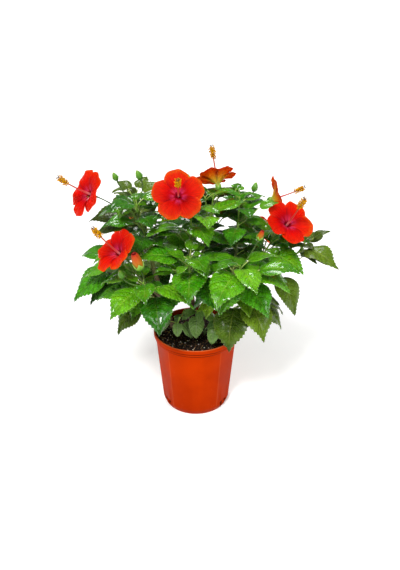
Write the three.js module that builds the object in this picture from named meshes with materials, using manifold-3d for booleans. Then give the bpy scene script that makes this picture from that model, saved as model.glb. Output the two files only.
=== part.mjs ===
// A potted hibiscus shrub: a tapered nursery pot filled with potting mix, three woody stems that rise from
// it, the boughs that fork from them, and one mass of twigs, leaves, buds and blooms at each bough's tip.
// Millimetres and degrees, +Z up. The origin is the middle of the pot's flat underside, and -Y is the front.

import * as THREE from "three";
import { mergeVertices } from "three/addons/utils/BufferGeometryUtils.js";
import Module from "manifold-3d";

const wasm = await Module();
wasm.setup();

// ---------------------------------------------------------------------------------------------------------
// Driving dimensions
// ---------------------------------------------------------------------------------------------------------

const GAP = 0.3; // clearance between solids that touch on the real plant

const POT = {
  height: 200,
  rimRadius: 101.5,
  footRadius: 75,
  heelRadius: 81.5, // where the chamfer round the foot meets the wall
  heelHeight: 14,
  wallTopRadius: 96.5,
  wall: 2.4,
  rimBand: 11, // the rolled band round the mouth
  collarBand: 7, // the narrower band below it
  flatHalf: 20, // half of the angle that each flat over a pair of slots takes up
  flatDepth: 4, // how far a flat's middle lies inside the round
  segments: 36,
};
const SLOT = { azimuths: [-152, -32, 88], width: 11, height: 15, spacing: 17, sill: 2.6, depth: 24 };
const MIX = { depth: 13, shoulder: 5, topRadius: 70 }; // depth is below the pot's mouth
const SOIL = POT.height - MIX.depth;

// Radii of the limbs at their foot and at their tip.
const STEM = { foot: 8, tip: 5.2, flare: 4.6, flareShare: 0.16, sides: 8, steps: 6 };
const BOUGH = { foot: 4.2, tip: 3.1, sides: 5, steps: 3 };
const TWIG = { foot: 2.9, tip: 1.3, sides: 3, steps: 4 };
const SIDE_TWIG = { foot: 1.9, tip: 1.1, sides: 3, steps: 2, reach: 0.6, rise: 0.9, leaves: 3 };
const SPROUT = { foot: 1.8, tip: 1.1, sides: 3, steps: 3 };
const STALK = { radius: 1.5, sides: 3, steps: 3 }; // of a bloom or a bud

// A place is an azimuth, a reach from the pot's axis and a height. Azimuths run from +X towards +Y.
const STEMS = {
  left: { foot: [-160, 42], tip: [-163, 88, 330] },
  middle: { foot: [95, 16], tip: [-118, 24, 352] },
  right: { foot: [-12, 40], tip: [-22, 86, 326] },
};

// at: share of the stem's length where the bough leaves it. bare: share of the branch that is bare bough.
// turn: azimuth of the first leaf. leaf: length of a full-grown leaf.
const BRANCHES = [
  { name: "front_left", stem: "left", at: 0.62, tip: [-128, 178, 400], bare: 0.4,
    leaves: 8, leaf: 97, turn: 170, twigs: 1, seed: 56 },
  { name: "front_right", stem: "right", at: 0.78, tip: [-53, 157, 433], bare: 0.36,
    leaves: 9, leaf: 101, turn: 170, twigs: 1, seed: 35 },
  { name: "front_middle", stem: "middle", at: 0.66, tip: [-96, 113, 446], bare: 0.36,
    leaves: 8, leaf: 101, turn: -160, twigs: 1, seed: 52 },
  { name: "left", stem: "left", at: 0.8, tip: [-163, 168, 427], bare: 0.4,
    leaves: 7, leaf: 96, turn: -115, twigs: 1, seed: 93 },
  { name: "right", stem: "right", at: 0.9, tip: [1, 179, 448], bare: 0.4,
    leaves: 8, leaf: 94, turn: 10, twigs: 1, seed: 45 },
  { name: "far_left", stem: "left", at: 0.7, tip: [179, 200, 392], bare: 0.42,
    leaves: 7, leaf: 100, turn: -80, twigs: 1, seed: 26 },
  { name: "far_right", stem: "right", at: 0.7, tip: [3, 251, 418], bare: 0.42,
    leaves: 8, leaf: 106, turn: -55, twigs: 1, seed: 56 },
  { name: "low_right", stem: "right", at: 0.52, tip: [-30, 136, 323], bare: 0.42,
    leaves: 8, leaf: 103, turn: -135, twigs: 0, seed: 71 },
  { name: "low_left", stem: "left", at: 0.5, tip: [-168, 123, 291], bare: 0.42,
    leaves: 4, leaf: 86, turn: -140, twigs: 0, seed: 30 },
  { name: "low_front", stem: "middle", at: 0.5, tip: [-36, 136, 329], bare: 0.42,
    leaves: 5, leaf: 78, turn: -105, twigs: 0, seed: 20 },
  { name: "upper_left", stem: "left", at: 1, tip: [-165, 137, 546], bare: 0.4,
    leaves: 9, leaf: 80, turn: -5, twigs: 2, seed: 99 },
  { name: "centre_front", stem: "middle", at: 1, tip: [-97, 57, 541], bare: 0.42,
    leaves: 8, leaf: 90, turn: -120, twigs: 1, seed: 13 },
  { name: "upper_back", stem: "middle", at: 0.8, tip: [47, 61, 528], bare: 0.36,
    leaves: 8, leaf: 96, turn: -50, twigs: 2, seed: 55 },
  { name: "upper_right", stem: "right", at: 1, tip: [0, 96, 539], bare: 0.4,
    leaves: 10, leaf: 71, turn: 15, twigs: 2, seed: 35 },
  { name: "back_left", stem: "left", at: 0.88, tip: [143, 176, 506], bare: 0.4,
    leaves: 8, leaf: 96, turn: 155, twigs: 2, seed: 26 },
  { name: "back", stem: "middle", at: 0.7, tip: [97, 153, 466], bare: 0.4,
    leaves: 8, leaf: 93, turn: 85, twigs: 2, seed: 12 },
  { name: "back_right", stem: "right", at: 0.84, tip: [51, 167, 493], bare: 0.4,
    leaves: 9, leaf: 96, turn: 100, twigs: 2, seed: 53 },
  { name: "low_back_left", stem: "left", at: 0.55, tip: [115, 176, 355], bare: 0.44,
    leaves: 7, leaf: 100, turn: 120, twigs: 1, seed: 1 },
  { name: "low_back_right", stem: "right", at: 0.6, tip: [44, 163, 365], bare: 0.44,
    leaves: 7, leaf: 100, turn: 45, twigs: 1, seed: 93 },
];

// Short leafy sprouts low on each stem, with small leaves.
const SPROUTS = [
  { name: "sprout_left", stem: "left", at: 0.2, tip: [-120, 73, 270], bare: 0,
    leaves: 5, leaf: 42, turn: -130, twigs: 0, seed: 93 },
  { name: "sprout_middle", stem: "middle", at: 0.22, tip: [-66, 34, 275], bare: 0,
    leaves: 6, leaf: 52, turn: -85, twigs: 0, seed: 63 },
  { name: "sprout_right", stem: "right", at: 0.2, tip: [-50, 84, 256], bare: 0,
    leaves: 5, leaf: 44, turn: -40, twigs: 0, seed: 62 },
];

// at: share of the main twig where the flower's stalk leaves it. calyx: place where the stalk ends.
// faces: azimuth and elevation of the flower's axis. open: 1 is a flat flower, 0 a closed one.
const BLOOM = { width: 114, depth: 20, column: 90, anthers: 26, calyx: 15 };
const BLOOMS = [
  { branch: "upper_left", at: 0.55, calyx: [-174, 216, 547],
    faces: [-150, 30], size: 1, open: 0.92, spin: 56 },
  { branch: "left", at: 0.7, calyx: [-141, 191, 448],
    faces: [-150, 47], size: 1.05, open: 0.8, spin: 50 },
  { branch: "centre_front", at: 0.8, calyx: [-112, 93, 568],
    faces: [-88, 38], size: 0.96, open: 1, spin: 18 },
  { branch: "upper_back", at: 0.8, calyx: [48, 80, 527],
    faces: [104, 46], size: 1.1, open: 0.62, spin: 40 },
  { branch: "upper_right", at: 0.6, calyx: [12, 163, 515],
    faces: [6, 12], size: 0.94, open: 0.9, spin: 10 },
  { branch: "right", at: 0.85, calyx: [-10, 197, 477],
    faces: [-56, 53], size: 1.05, open: 0.88, spin: 30 },
  { branch: "low_back_left", at: 0.8, calyx: [132, 225, 380],
    faces: [126, 24], size: 0.95, open: 0.85, spin: 0 },
  { branch: "low_back_right", at: 0.8, calyx: [44, 208, 379],
    faces: [50, 28], size: 0.95, open: 0.9, spin: 30 },
];

// foot: place where the stalk ends and the bud begins. A ripe bud shows its furled petals.
const BUDS = [
  { branch: "front_left", at: 0.7, foot: [-127, 188, 436], length: 46, ripe: true },
  { branch: "front_left", at: 0.85, foot: [-136, 210, 414], length: 22, ripe: false },
  { branch: "upper_left", at: 0.75, foot: [-173, 168, 582], length: 20, ripe: false },
  { branch: "upper_left", at: 0.9, foot: [-168, 118, 586], length: 23, ripe: false },
  { branch: "front_right", at: 0.85, foot: [-40, 172, 484], length: 26, ripe: true },
  { branch: "back", at: 0.8, foot: [96, 176, 500], length: 26, ripe: false },
  { branch: "back_right", at: 0.8, foot: [44, 190, 498], length: 24, ripe: false },
];

// Shares of the blade's length, but for the stalk's radius. fold: how far the halves stand up.
const LEAF = { stalk: 0.42, stalkRadius: 1.25, thick: 0.03, width: 0.8, narrow: 0.16, fold: 0.2 };
const LEAF_ROUNDNESS = 0.62; // below 1 the leaf is widest nearer its base
const OUTWARD = 0.55; // how strongly leaves turn out of the crown
const HANG = { from: 430, over: 200, angle: 50 }; // the lower a leaf is below that height, the more it hangs
// A leaf that would touch something turns aside and tilts by these before it is left out.
const SHIFTS = [
  [0, 0], [20, 0], [-20, 0], [0, 14], [0, -14], [38, 6], [-38, 6], [20, -16], [-20, -16], [60, 0], [-60, 0],
];

// Room that a piece keeps to anything of another mass, and the share of it that it keeps within its own mass.
const ROOM = { blade: 4.3, stalk: 3.4, petal: 5, spacing: 8, own: 0.6 };

// ---------------------------------------------------------------------------------------------------------
// Finishes
// ---------------------------------------------------------------------------------------------------------

const finish = (color, roughness) => new THREE.MeshStandardMaterial({ color, roughness, metalness: 0 });
const FINISHES = {
  pot: finish(0xd2400f, 0.45),
  mix: finish(0x1f1712, 0.95),
  bark: finish(0x6b4a30, 0.8),
  greenBark: finish(0x6f8f2e, 0.6),
  foliage: finish(0x3f9a1c, 0.35),
};

// ---------------------------------------------------------------------------------------------------------
// Vectors, curves and seeded draws
// ---------------------------------------------------------------------------------------------------------

const { degToRad: radians, radToDeg: degrees, lerp, clamp } = THREE.MathUtils;
const UP = new THREE.Vector3(0, 0, 1);
const ORIGIN = new THREE.Vector3();
const GOLDEN_ANGLE = 137.5;

const heading = (azimuth) => new THREE.Vector3(Math.cos(radians(azimuth)), Math.sin(radians(azimuth)), 0);
const place = (azimuth, reach, height) => heading(azimuth).multiplyScalar(reach).setZ(height);
const outwards = (point) => point.clone().setZ(0).normalize();

// The point reached from a start by steps that are each a direction and a distance.
const from = (start, ...steps) =>
  steps.reduce((point, [direction, distance]) => point.addScaledVector(direction, distance), start.clone());

const cross = (a, b) => new THREE.Vector3().crossVectors(a, b);
const between = (a, b, share) => a.clone().lerp(b, share);
const bend = (start, middle, end) => new THREE.QuadraticBezierCurve3(start, middle, end);
const straight = (start, end) => bend(start, between(start, end, 0.5), end);

// Normal of the plane that a bent curve lies in.
function planeOf({ v0, v1, v2 }) {
  const normal = cross(from(v1, [v0, -1]), from(v2, [v0, -1]));
  return normal.length() > 1e-6 ? normal.normalize() : cross(UP, from(v2, [v0, -1])).normalize();
}

// Draws from 0 to 1, the same on every run of a seed.
function drawsOf(seed) {
  let state = seed;
  return () => {
    state = (state + 0x6d2b79f5) >>> 0;
    let t = Math.imul(state ^ (state >>> 15), 1 | state);
    t = (t + Math.imul(t ^ (t >>> 7), 61 | t)) ^ t;
    return ((t ^ (t >>> 14)) >>> 0) / 4294967296;
  };
}

// ---------------------------------------------------------------------------------------------------------
// Solids
// ---------------------------------------------------------------------------------------------------------

// A closed geometry as a solid.
function solidOf(geometry) {
  geometry.deleteAttribute("normal");
  geometry.deleteAttribute("uv");
  const merged = mergeVertices(geometry, 1e-4);
  const mesh = new wasm.Mesh({
    numProp: 3,
    vertProperties: merged.attributes.position.array,
    triVerts: new Uint32Array(merged.index.array),
  });
  return new wasm.Manifold(mesh);
}

// A solid back as a geometry.
function geometryOf(solid) {
  const { vertProperties, numProp, triVerts } = solid.getMesh();
  return new THREE.BufferGeometry()
    .setAttribute("position", new THREE.BufferAttribute(vertProperties, numProp))
    .setIndex(new THREE.BufferAttribute(triVerts, 1));
}

// A geometry with each of its vertices moved to where a function says.
function reshaped(geometry, moved) {
  const positions = geometry.attributes.position;
  const point = new THREE.Vector3();
  for (let i = 0; i < positions.count; i++) {
    point.fromBufferAttribute(positions, i);
    positions.setXYZ(i, ...moved(point));
  }
  return geometry;
}

// A limb: a prism bent along a curve, from one share of it to another. Its foot is a radius, or a function
// that gives the radius all along it. A floor levels its foot.
function limbSolid(curve, { foot, tip, sides, steps, floor }, start = 0, end = 1) {
  const normal = planeOf(curve);
  const radiusAt = typeof foot === "function" ? foot : (share) => lerp(foot, tip, share);
  const prism = new THREE.CylinderGeometry(1, 1, 1, sides, steps);
  return solidOf(
    reshaped(prism, ({ x, y, z }) => {
      const share = y + 0.5;
      const along = lerp(start, end, share);
      const radius = radiusAt(share);
      const across = cross(normal, curve.getTangent(along));
      const point = from(curve.getPoint(along), [normal, x * radius], [across, z * radius]);
      return share === 0 && floor ? point.setZ(floor) : point;
    }),
  );
}

// A closed sheet, thick along its middle and sharp at its edge. place(share, turn, side) gives the point at a
// share of the way from its middle to its edge, in a direction round it, on its upper or its lower side.
function sheetSolid(around, rings, placeOf) {
  const ball = new THREE.SphereGeometry(1, around, 2 * rings);
  return solidOf(
    reshaped(ball, ({ x, y, z }) => {
      const latitude = Math.asin(clamp(y, -1, 1)) / (Math.PI / 2);
      const share = Math.round((1 - Math.abs(latitude)) * rings) / rings;
      const turn = Math.round((Math.atan2(z, x) / (2 * Math.PI)) * around + around) % around;
      return placeOf(share, turn, share === 1 ? 0 : -Math.sign(y));
    }),
  );
}

// ---------------------------------------------------------------------------------------------------------
// Stems and branches
// ---------------------------------------------------------------------------------------------------------

// A stem leans out of the mix and straightens as it rises.
function stemCurve({ foot, tip }) {
  const start = place(...foot, SOIL + GAP);
  const end = place(...tip);
  return bend(start, between(start, end, 0.7).setZ(lerp(start.z, end.z, 0.45)), end);
}

function stemRadius(share) {
  return lerp(STEM.foot, STEM.tip, share) + STEM.flare * Math.max(0, 1 - share / STEM.flareShare) ** 2;
}

// A branch leaves its stem outwards and then turns up. One at the stem's very tip carries on its line.
function branchCurve({ stem, at, tip }) {
  const parent = stemCurve(STEMS[stem]);
  const end = place(...tip);
  if (at === 1) {
    const line = parent.getTangent(1);
    const start = from(parent.getPoint(1), [line, GAP]);
    return bend(start, from(start, [line, 0.4 * start.distanceTo(end)]), end);
  }
  const start = parent.getPoint(at);
  return bend(start, between(start, end, 0.66).setZ(lerp(start.z, end.z, 0.42)), end);
}

// The stalk of a bloom or a bud arches from its twig to its foot.
function stalkCurve(branch, at, foot, axis) {
  const root = branchCurve(branch).getPoint(lerp(branch.bare, 1, at));
  return bend(root, from(foot, [axis, -0.45 * root.distanceTo(foot)]), foot);
}

// ---------------------------------------------------------------------------------------------------------
// Leaves
// ---------------------------------------------------------------------------------------------------------

// A leaf at its root on a twig. direction is where it points, rise the angle of its stalk, pitch the angle at
// which its blade starts, droop how far the blade bends down to its tip, and roll its turn about its midrib.
function leafOf({ root, direction, rise, pitch, droop, roll, length, share }) {
  const stalk = LEAF.stalk * length;
  const base = from(root, [direction, stalk * Math.cos(rise)], [UP, stalk * Math.sin(rise)]);
  const half = ((LEAF.width - LEAF.narrow * share) * length) / 2;
  return { root, base, direction, side: cross(UP, direction), pitch, droop, roll, length, half };
}

// A point of a leaf's blade: t runs from its base to its tip, and v from one edge to the other.
function leafPoint(leaf, t, v) {
  const { base, direction, side, pitch, droop, roll, length } = leaf;
  const angle = pitch - droop * t;
  const out = (length * (Math.sin(pitch) - Math.sin(angle))) / droop;
  const rise = (length * (Math.cos(angle) - Math.cos(pitch))) / droop;
  const normal = from(ORIGIN, [direction, -Math.sin(angle)], [UP, Math.cos(angle)]);
  const across = from(ORIGIN, [side, Math.cos(roll)], [normal, Math.sin(roll)]);
  const above = from(ORIGIN, [normal, Math.cos(roll)], [side, -Math.sin(roll)]);
  const half = leaf.half * Math.sin(Math.PI * t ** LEAF_ROUNDNESS);
  const lift = LEAF.fold * Math.abs(v) * half;
  return from(base, [direction, out], [UP, rise], [across, v * half], [above, lift]);
}

// Rings round a leaf from its root to its tip: each a share of the blade, and a negative one at the root.
const LEAF_RINGS = [-1, 0, 0.16, 0.64];

// A leaf's solid is a four-sided skin: two sides meet in a sharp edge left and right of the midrib.
function leafSolid(leaf) {
  const lift = (LEAF.thick * leaf.length) / 2;
  const stalk = from(leaf.base, [leaf.root, -1]).normalize();
  const skin = new THREE.SphereGeometry(1, 4, LEAF_RINGS.length + 1);
  return solidOf(
    reshaped(skin, ({ x, y, z }) => {
      const ring = Math.round((Math.acos(clamp(y, -1, 1)) / Math.PI) * (LEAF_RINGS.length + 1)) - 1;
      if (ring < 0) return from(leaf.root, [stalk, -LEAF.stalkRadius]);
      if (ring === LEAF_RINGS.length) return leafPoint(leaf, 1, 0);
      const t = LEAF_RINGS[ring];
      const [left, over] = [Math.round(x / Math.hypot(x, z)), Math.round(z / Math.hypot(x, z))];
      if (t > 0) return from(leafPoint(leaf, t, -left), [UP, -over * lift]);
      const { root, base, side } = leaf;
      return from(t < 0 ? root : base, [side, -left * LEAF.stalkRadius], [UP, -over * LEAF.stalkRadius]);
    }),
  );
}

// ---------------------------------------------------------------------------------------------------------
// Blooms and buds
// ---------------------------------------------------------------------------------------------------------

// A bloom in its own axes: the way it faces, and two directions across that.
function bloomOf(spec) {
  const [azimuth, elevation] = spec.faces;
  const [level, upright] = [Math.cos(radians(elevation)), Math.sin(radians(elevation))];
  const axis = from(ORIGIN, [heading(azimuth), level], [UP, upright]);
  const across = cross(UP, axis).normalize();
  return { ...spec, foot: place(...spec.calyx), axis, across, over: cross(axis, across) };
}

const PETALS = 5;
const NOTCH = 0.15; // how far the rim draws in between two petals

// A point of a bloom's petals: t runs from the calyx to the rim, and turn goes round the axis.
function petalPoint(bloom, t, turn) {
  const angle = radians(bloom.spin + turn);
  const notch = 1 - NOTCH * t * Math.abs(Math.sin((PETALS * radians(turn)) / 2)) ** 3;
  const radius = (BLOOM.width / 2) * bloom.size * lerp(0.35, 1, bloom.open) * t ** 1.2 * notch;
  const depth = BLOOM.depth * bloom.size * lerp(2.6, 1, bloom.open) * Math.sin((Math.PI / 2) * t ** 0.8);
  return from(
    bloom.foot,
    [bloom.axis, 0.4 * BLOOM.calyx + depth],
    [bloom.across, radius * Math.cos(angle)],
    [bloom.over, radius * Math.sin(angle)],
  );
}

// The column stands out of the throat and turns up a little towards the anthers at its end.
function columnCurve(bloom) {
  const length = BLOOM.column * bloom.size;
  const end = from(bloom.foot, [bloom.axis, length], [UP, 0.12 * length]);
  return bend(bloom.foot.clone(), from(bloom.foot, [bloom.axis, 0.6 * length]), end);
}

// Petals and calyx are one cup, closed below where the stalk ends.
function bloomSolid(bloom) {
  const around = 3 * PETALS;
  const cup = sheetSolid(around, 2, (share, turn, side) => {
    if (share === 0 && side < 0) return from(bloom.foot, [bloom.axis, -2]);
    return from(petalPoint(bloom, share, (turn * 360) / around), [bloom.axis, side * (share < 1 ? 1 : 0)]);
  });
  const column = columnCurve(bloom);
  const anthers = 1 - BLOOM.anthers / BLOOM.column;
  return cup
    .add(limbSolid(column, { foot: 1.9, tip: 1.6, sides: 3, steps: 1 }, 0.02, anthers + 0.04))
    .add(limbSolid(column, { foot: 2.4, tip: 4.6, sides: 5, steps: 1 }, anthers, 1));
}

// A bud is a pointed spindle on its stalk, which leans a little outwards.
function budOf(spec) {
  const foot = place(...spec.foot);
  const axis = from(outwards(foot), [UP, 2.4]).normalize();
  return { ...spec, foot, axis, radius: spec.length * (spec.ripe ? 0.24 : 0.3) };
}

function budSolid(bud) {
  const side = cross(UP, bud.axis).normalize();
  const other = cross(bud.axis, side);
  return solidOf(
    reshaped(new THREE.SphereGeometry(bud.radius, 5, 4), ({ x, y, z }) =>
      from(bud.foot, [side, x], [other, -z], [bud.axis, (y / bud.radius + 0.8) * (bud.length / 1.8)]),
    ),
  );
}

// ---------------------------------------------------------------------------------------------------------
// Keeping clear: what has grown, as groups of points with the room that each keeps round it
// ---------------------------------------------------------------------------------------------------------

const grown = [];

function probeGroup(points, room) {
  const sum = points.reduce((total, point) => total.add(point), new THREE.Vector3());
  const centre = sum.divideScalar(points.length);
  return { points, room, centre, reach: Math.max(...points.map((point) => point.distanceTo(centre))) };
}

function limbProbes(curve, radius, start = 0, end = 1) {
  const count = Math.max(1, Math.ceil(curve.getPoint(start).distanceTo(curve.getPoint(end)) / ROOM.spacing));
  const points = Array.from({ length: count + 1 }, (_, i) => curve.getPoint(lerp(start, end, i / count)));
  return probeGroup(points, radius);
}

// Evenly spread shares from one value to another.
const spread = (low, high, count) =>
  Array.from({ length: count }, (_, i) => lerp(low, high, i / (count - 1)));
const ALONG_BLADE = spread(0.02, 1, 10);
const ACROSS_BLADE = spread(-1, 1, 7);
const ALONG_PETAL = spread(0.3, 1, 5);
const ROUND_BLOOM = spread(0, 345, 24);

function leafProbes(leaf) {
  const points = ALONG_BLADE.flatMap((t) => ACROSS_BLADE.map((v) => leafPoint(leaf, t, v)));
  return [
    probeGroup(points, ROOM.blade * Math.min(1, leaf.length / 80)),
    limbProbes(straight(leaf.root, leaf.base), ROOM.stalk, 0.4, 1),
  ];
}

function bloomProbes(bloom) {
  const points = ALONG_PETAL.flatMap((t) => ROUND_BLOOM.map((turn) => petalPoint(bloom, t, turn)));
  return [probeGroup(points, ROOM.petal), limbProbes(columnCurve(bloom), ROOM.petal + 2)];
}

function areClear(groups, owner) {
  return groups.every((group) =>
    grown.every((other) => {
      const room = (group.room + other.room) * (other.owner === owner ? ROOM.own : 1);
      if (group.centre.distanceTo(other.centre) > group.reach + other.reach + room) return true;
      return group.points.every((a) => other.points.every((b) => a.distanceToSquared(b) >= room * room));
    }),
  );
}

const claim = (groups, owner) => grown.push(...groups.map((group) => ({ ...group, owner })));

// True for a point in the pot, in its mix or hardly above them.
function isInPot({ x, y, z }) {
  const reach = Math.hypot(x, y);
  return reach < POT.rimRadius + 5 && z < (reach > POT.wallTopRadius - 8 ? POT.height + 5 : SOIL + 6);
}

// ---------------------------------------------------------------------------------------------------------
// The rule that grows a mass: a twig, side twigs from it, and leaves in a spiral along each
// ---------------------------------------------------------------------------------------------------------

// Size of a leaf at a share of its twig: fullest below the middle, and young at the tip.
const leafSize = (share) => 0.9 + 0.5 * share - 0.95 * share * share;

// The leaf at a root, or nothing where it would touch what has grown.
function grownLeaf(root, azimuth, share, spec, draws) {
  const [size, tilt, curl, twist] = [draws(), draws(), draws(), draws()];
  const hang = clamp((HANG.from - root.z) / HANG.over, 0, 1);
  const shape = {
    root,
    share,
    length: spec.leaf * leafSize(share) * lerp(0.9, 1.12, size),
    rise: radians(42 - 20 * hang),
    pitch: radians(8 + 20 * share - HANG.angle * hang + 14 * (tilt - 0.5)),
    droop: radians(lerp(38, 58, curl)),
    roll: radians(26 * (twist - 0.5)),
  };
  for (const [aside, tilted] of SHIFTS) {
    const direction = outwards(from(heading(azimuth + aside), [outwards(root), OUTWARD]));
    const [rise, pitch] = [shape.rise + radians(tilted), shape.pitch + radians(tilted)];
    const leaf = leafOf({ ...shape, direction, rise, pitch });
    const probes = leafProbes(leaf);
    if (probes.some(({ points }) => points.some(isInPot)) || !areClear(probes, spec.name)) continue;
    claim(probes, spec.name);
    return [leaf];
  }
  return [];
}

// The leaves along a curve, from one share of it to its tip.
function leavesAlong(curve, start, count, turn, ageAt, spec, draws) {
  return Array.from({ length: count }, (_, i) => (i + 0.6) / count).flatMap((share, i) =>
    grownLeaf(curve.getPoint(lerp(start, 1, share)), turn + GOLDEN_ANGLE * i, ageAt(share), spec, draws),
  );
}

function sideTwigCurve(curve, spec, index, draws) {
  const [at, turn, reach] = [draws(), draws(), draws()];
  const root = curve.getPoint(lerp(spec.bare, 1, 0.25 + (0.5 * (index + at)) / spec.twigs));
  const azimuth = spec.turn + 80 + 190 * index + 60 * turn;
  const way = from(heading(azimuth), [outwards(root), SIDE_TWIG.reach], [UP, SIDE_TWIG.rise]).normalize();
  const length = spec.leaf * lerp(0.55, 0.9, reach);
  return bend(root, from(root, [way, 0.55 * length]), from(root, [way, length], [UP, 0.12 * length]));
}

function grownMass(spec) {
  const curve = branchCurve(spec);
  const draws = drawsOf(spec.seed);
  const leaves = leavesAlong(curve, spec.bare, spec.leaves, spec.turn, (share) => share, spec, draws);
  const sides = [];
  for (let i = 0; i < spec.twigs; i++) {
    const sideDraws = drawsOf(spec.seed * 100 + i);
    const side = sideTwigCurve(curve, spec, i, sideDraws);
    const probes = [limbProbes(side, SIDE_TWIG.foot + 2, 0.3, 1)];
    if (!areClear(probes, spec.name)) continue;
    claim(probes, spec.name);
    sides.push(side);
    const age = (share) => 0.35 + 0.55 * share;
    leaves.push(...leavesAlong(side, 0.2, SIDE_TWIG.leaves, spec.turn + 40 + 75 * i, age, spec, sideDraws));
  }
  return { spec, curve, sides, leaves };
}

// ---------------------------------------------------------------------------------------------------------
// Growing the plant
// ---------------------------------------------------------------------------------------------------------

const branchNamed = (name) => BRANCHES.find((branch) => branch.name === name);

// Limbs take their room first, then blooms and buds, and leaves grow into what is left.
function claimLimbs() {
  for (const [name, spec] of Object.entries(STEMS)) {
    claim([limbProbes(stemCurve(spec), STEM.foot + 2)], "stem_" + name);
  }
  for (const spec of [...BRANCHES, ...SPROUTS]) {
    const curve = branchCurve(spec);
    const bareEnd = spec.bare - 0.04;
    if (bareEnd > 0) claim([limbProbes(curve, BOUGH.foot + 2, 0.12, bareEnd)], "bough_" + spec.name);
    claim([limbProbes(curve, TWIG.foot + 1, Math.max(spec.bare, 0.12), 1)], spec.name);
  }
}

function claimFlowers() {
  return [
    ...BLOOMS.map(bloomOf).map((bloom) => ({ item: bloom, solid: bloomSolid, probes: bloomProbes(bloom) })),
    ...BUDS.map(budOf).map((bud) => ({
      item: bud,
      solid: budSolid,
      probes: [limbProbes(straight(bud.foot, from(bud.foot, [bud.axis, bud.length])), bud.radius + 2)],
    })),
  ].map(({ item, solid, probes }) => {
    const stalk = stalkCurve(branchNamed(item.branch), item.at, item.foot, item.axis);
    claim([...probes, limbProbes(stalk, ROOM.stalk, 0.25, 1)], item.branch);
    return { item, solid, stalk };
  });
}

// ---------------------------------------------------------------------------------------------------------
// Pot and mix
// ---------------------------------------------------------------------------------------------------------

// The pot's outline, as radii and heights, from its underside round its mouth to its inner floor.
function potOutline() {
  const { height, rimRadius, footRadius, heelRadius, heelHeight, wallTopRadius, wall } = POT;
  const { rimBand, collarBand } = POT;
  const collarTop = height - rimBand;
  const collarFoot = collarTop - collarBand;
  return [
    [0, 0],
    [footRadius, 0],
    [heelRadius, heelHeight],
    [wallTopRadius, collarFoot - 1],
    [rimRadius - 2.6, collarFoot],
    [rimRadius - 2.6, collarTop - 1],
    [rimRadius, collarTop],
    [rimRadius, height - 1.4],
    [rimRadius - 1.4, height],
    [rimRadius - 3.4, height],
    [wallTopRadius - wall, collarFoot - 1],
    [heelRadius - wall, heelHeight + 1],
    [footRadius - wall / 2, wall],
    [0, wall],
  ];
}

// A point pulled in towards the middle of its flat, between the heel and a level. The rest stays round.
function flattened({ x, y, z }, level) {
  const { heelHeight, flatHalf, flatDepth } = POT;
  if (z < heelHeight - 1 || z > level) return [x, y, z];
  const turn = degrees(Math.atan2(y, x));
  const away = Math.min(...SLOT.azimuths.map((azimuth) => Math.abs(((turn - azimuth + 540) % 360) - 180)));
  const share = 1 - (flatDepth * Math.max(0, 1 - (away / flatHalf) ** 2)) / Math.hypot(x, y);
  return [x * share, y * share, z];
}

// A shape turned from an outline, with its flats up to a level.
function turnedSolid(outline, level) {
  const points = outline.map(([radius, height]) => new THREE.Vector2(radius, height));
  const start = radians(90 + SLOT.azimuths[0]);
  const turned = new THREE.LatheGeometry(points, POT.segments, start).rotateX(Math.PI / 2);
  return solidOf(reshaped(turned, (point) => flattened(point, level)));
}

function slotSolid(azimuth, side) {
  const slot = new THREE.BoxGeometry(SLOT.depth, SLOT.width, SLOT.height)
    .translate(POT.footRadius + 2, (side * SLOT.spacing) / 2, SLOT.sill + SLOT.height / 2)
    .rotateZ(radians(azimuth));
  return solidOf(slot);
}

function potSolid() {
  const body = turnedSolid(potOutline(), POT.height - POT.rimBand - POT.collarBand - 0.5);
  const slots = SLOT.azimuths.flatMap((azimuth) => [slotSolid(azimuth, -1), slotSolid(azimuth, 1)]);
  return slots.reduce((pot, slot) => pot.subtract(slot), body);
}

// The mix fills the pot up to a clearance from its wall, and its flat top falls away near the wall.
function mixSolid() {
  const { footRadius, heelRadius, heelHeight, wallTopRadius, wall } = POT;
  const { height, rimBand, collarBand } = POT;
  const room = wall + 4 * GAP;
  const edge = SOIL - MIX.shoulder;
  const edgeShare = (edge - heelHeight) / (height - rimBand - collarBand - heelHeight);
  const outline = [
    [0, wall + GAP],
    [footRadius - room, wall + GAP],
    [heelRadius - room, heelHeight + 2],
    [lerp(heelRadius, wallTopRadius, edgeShare) - room, edge],
    [MIX.topRadius, SOIL],
    [0, SOIL],
  ];
  return turnedSolid(outline, edge);
}

// ---------------------------------------------------------------------------------------------------------
// The plant's solids
// ---------------------------------------------------------------------------------------------------------

const group = new THREE.Group();

function addNode(name, solid, material) {
  const mesh = new THREE.Mesh(geometryOf(solid), material);
  mesh.name = name;
  group.add(mesh);
}

// A stem's solid, grown by a clearance where something is to be cut clear of it.
const stemSolid = (name, clearance = 0) =>
  limbSolid(stemCurve(STEMS[name]), {
    ...STEM,
    foot: (share) => stemRadius(share) + clearance,
    floor: SOIL + GAP,
  });

const clearOfStem = (solid, name) => solid.subtract(stemSolid(name, GAP / Math.cos(Math.PI / STEM.sides)));

function boughSolid(spec) {
  const bough = limbSolid(branchCurve(spec), BOUGH, 0, spec.bare);
  return spec.at === 1 ? bough : clearOfStem(bough, spec.stem);
}

// Share of a curve that a clearance takes at one place on it.
const clearanceShare = (curve, at) => (GAP * 1e-3) / curve.getPoint(at).distanceTo(curve.getPoint(at + 1e-3));

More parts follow.
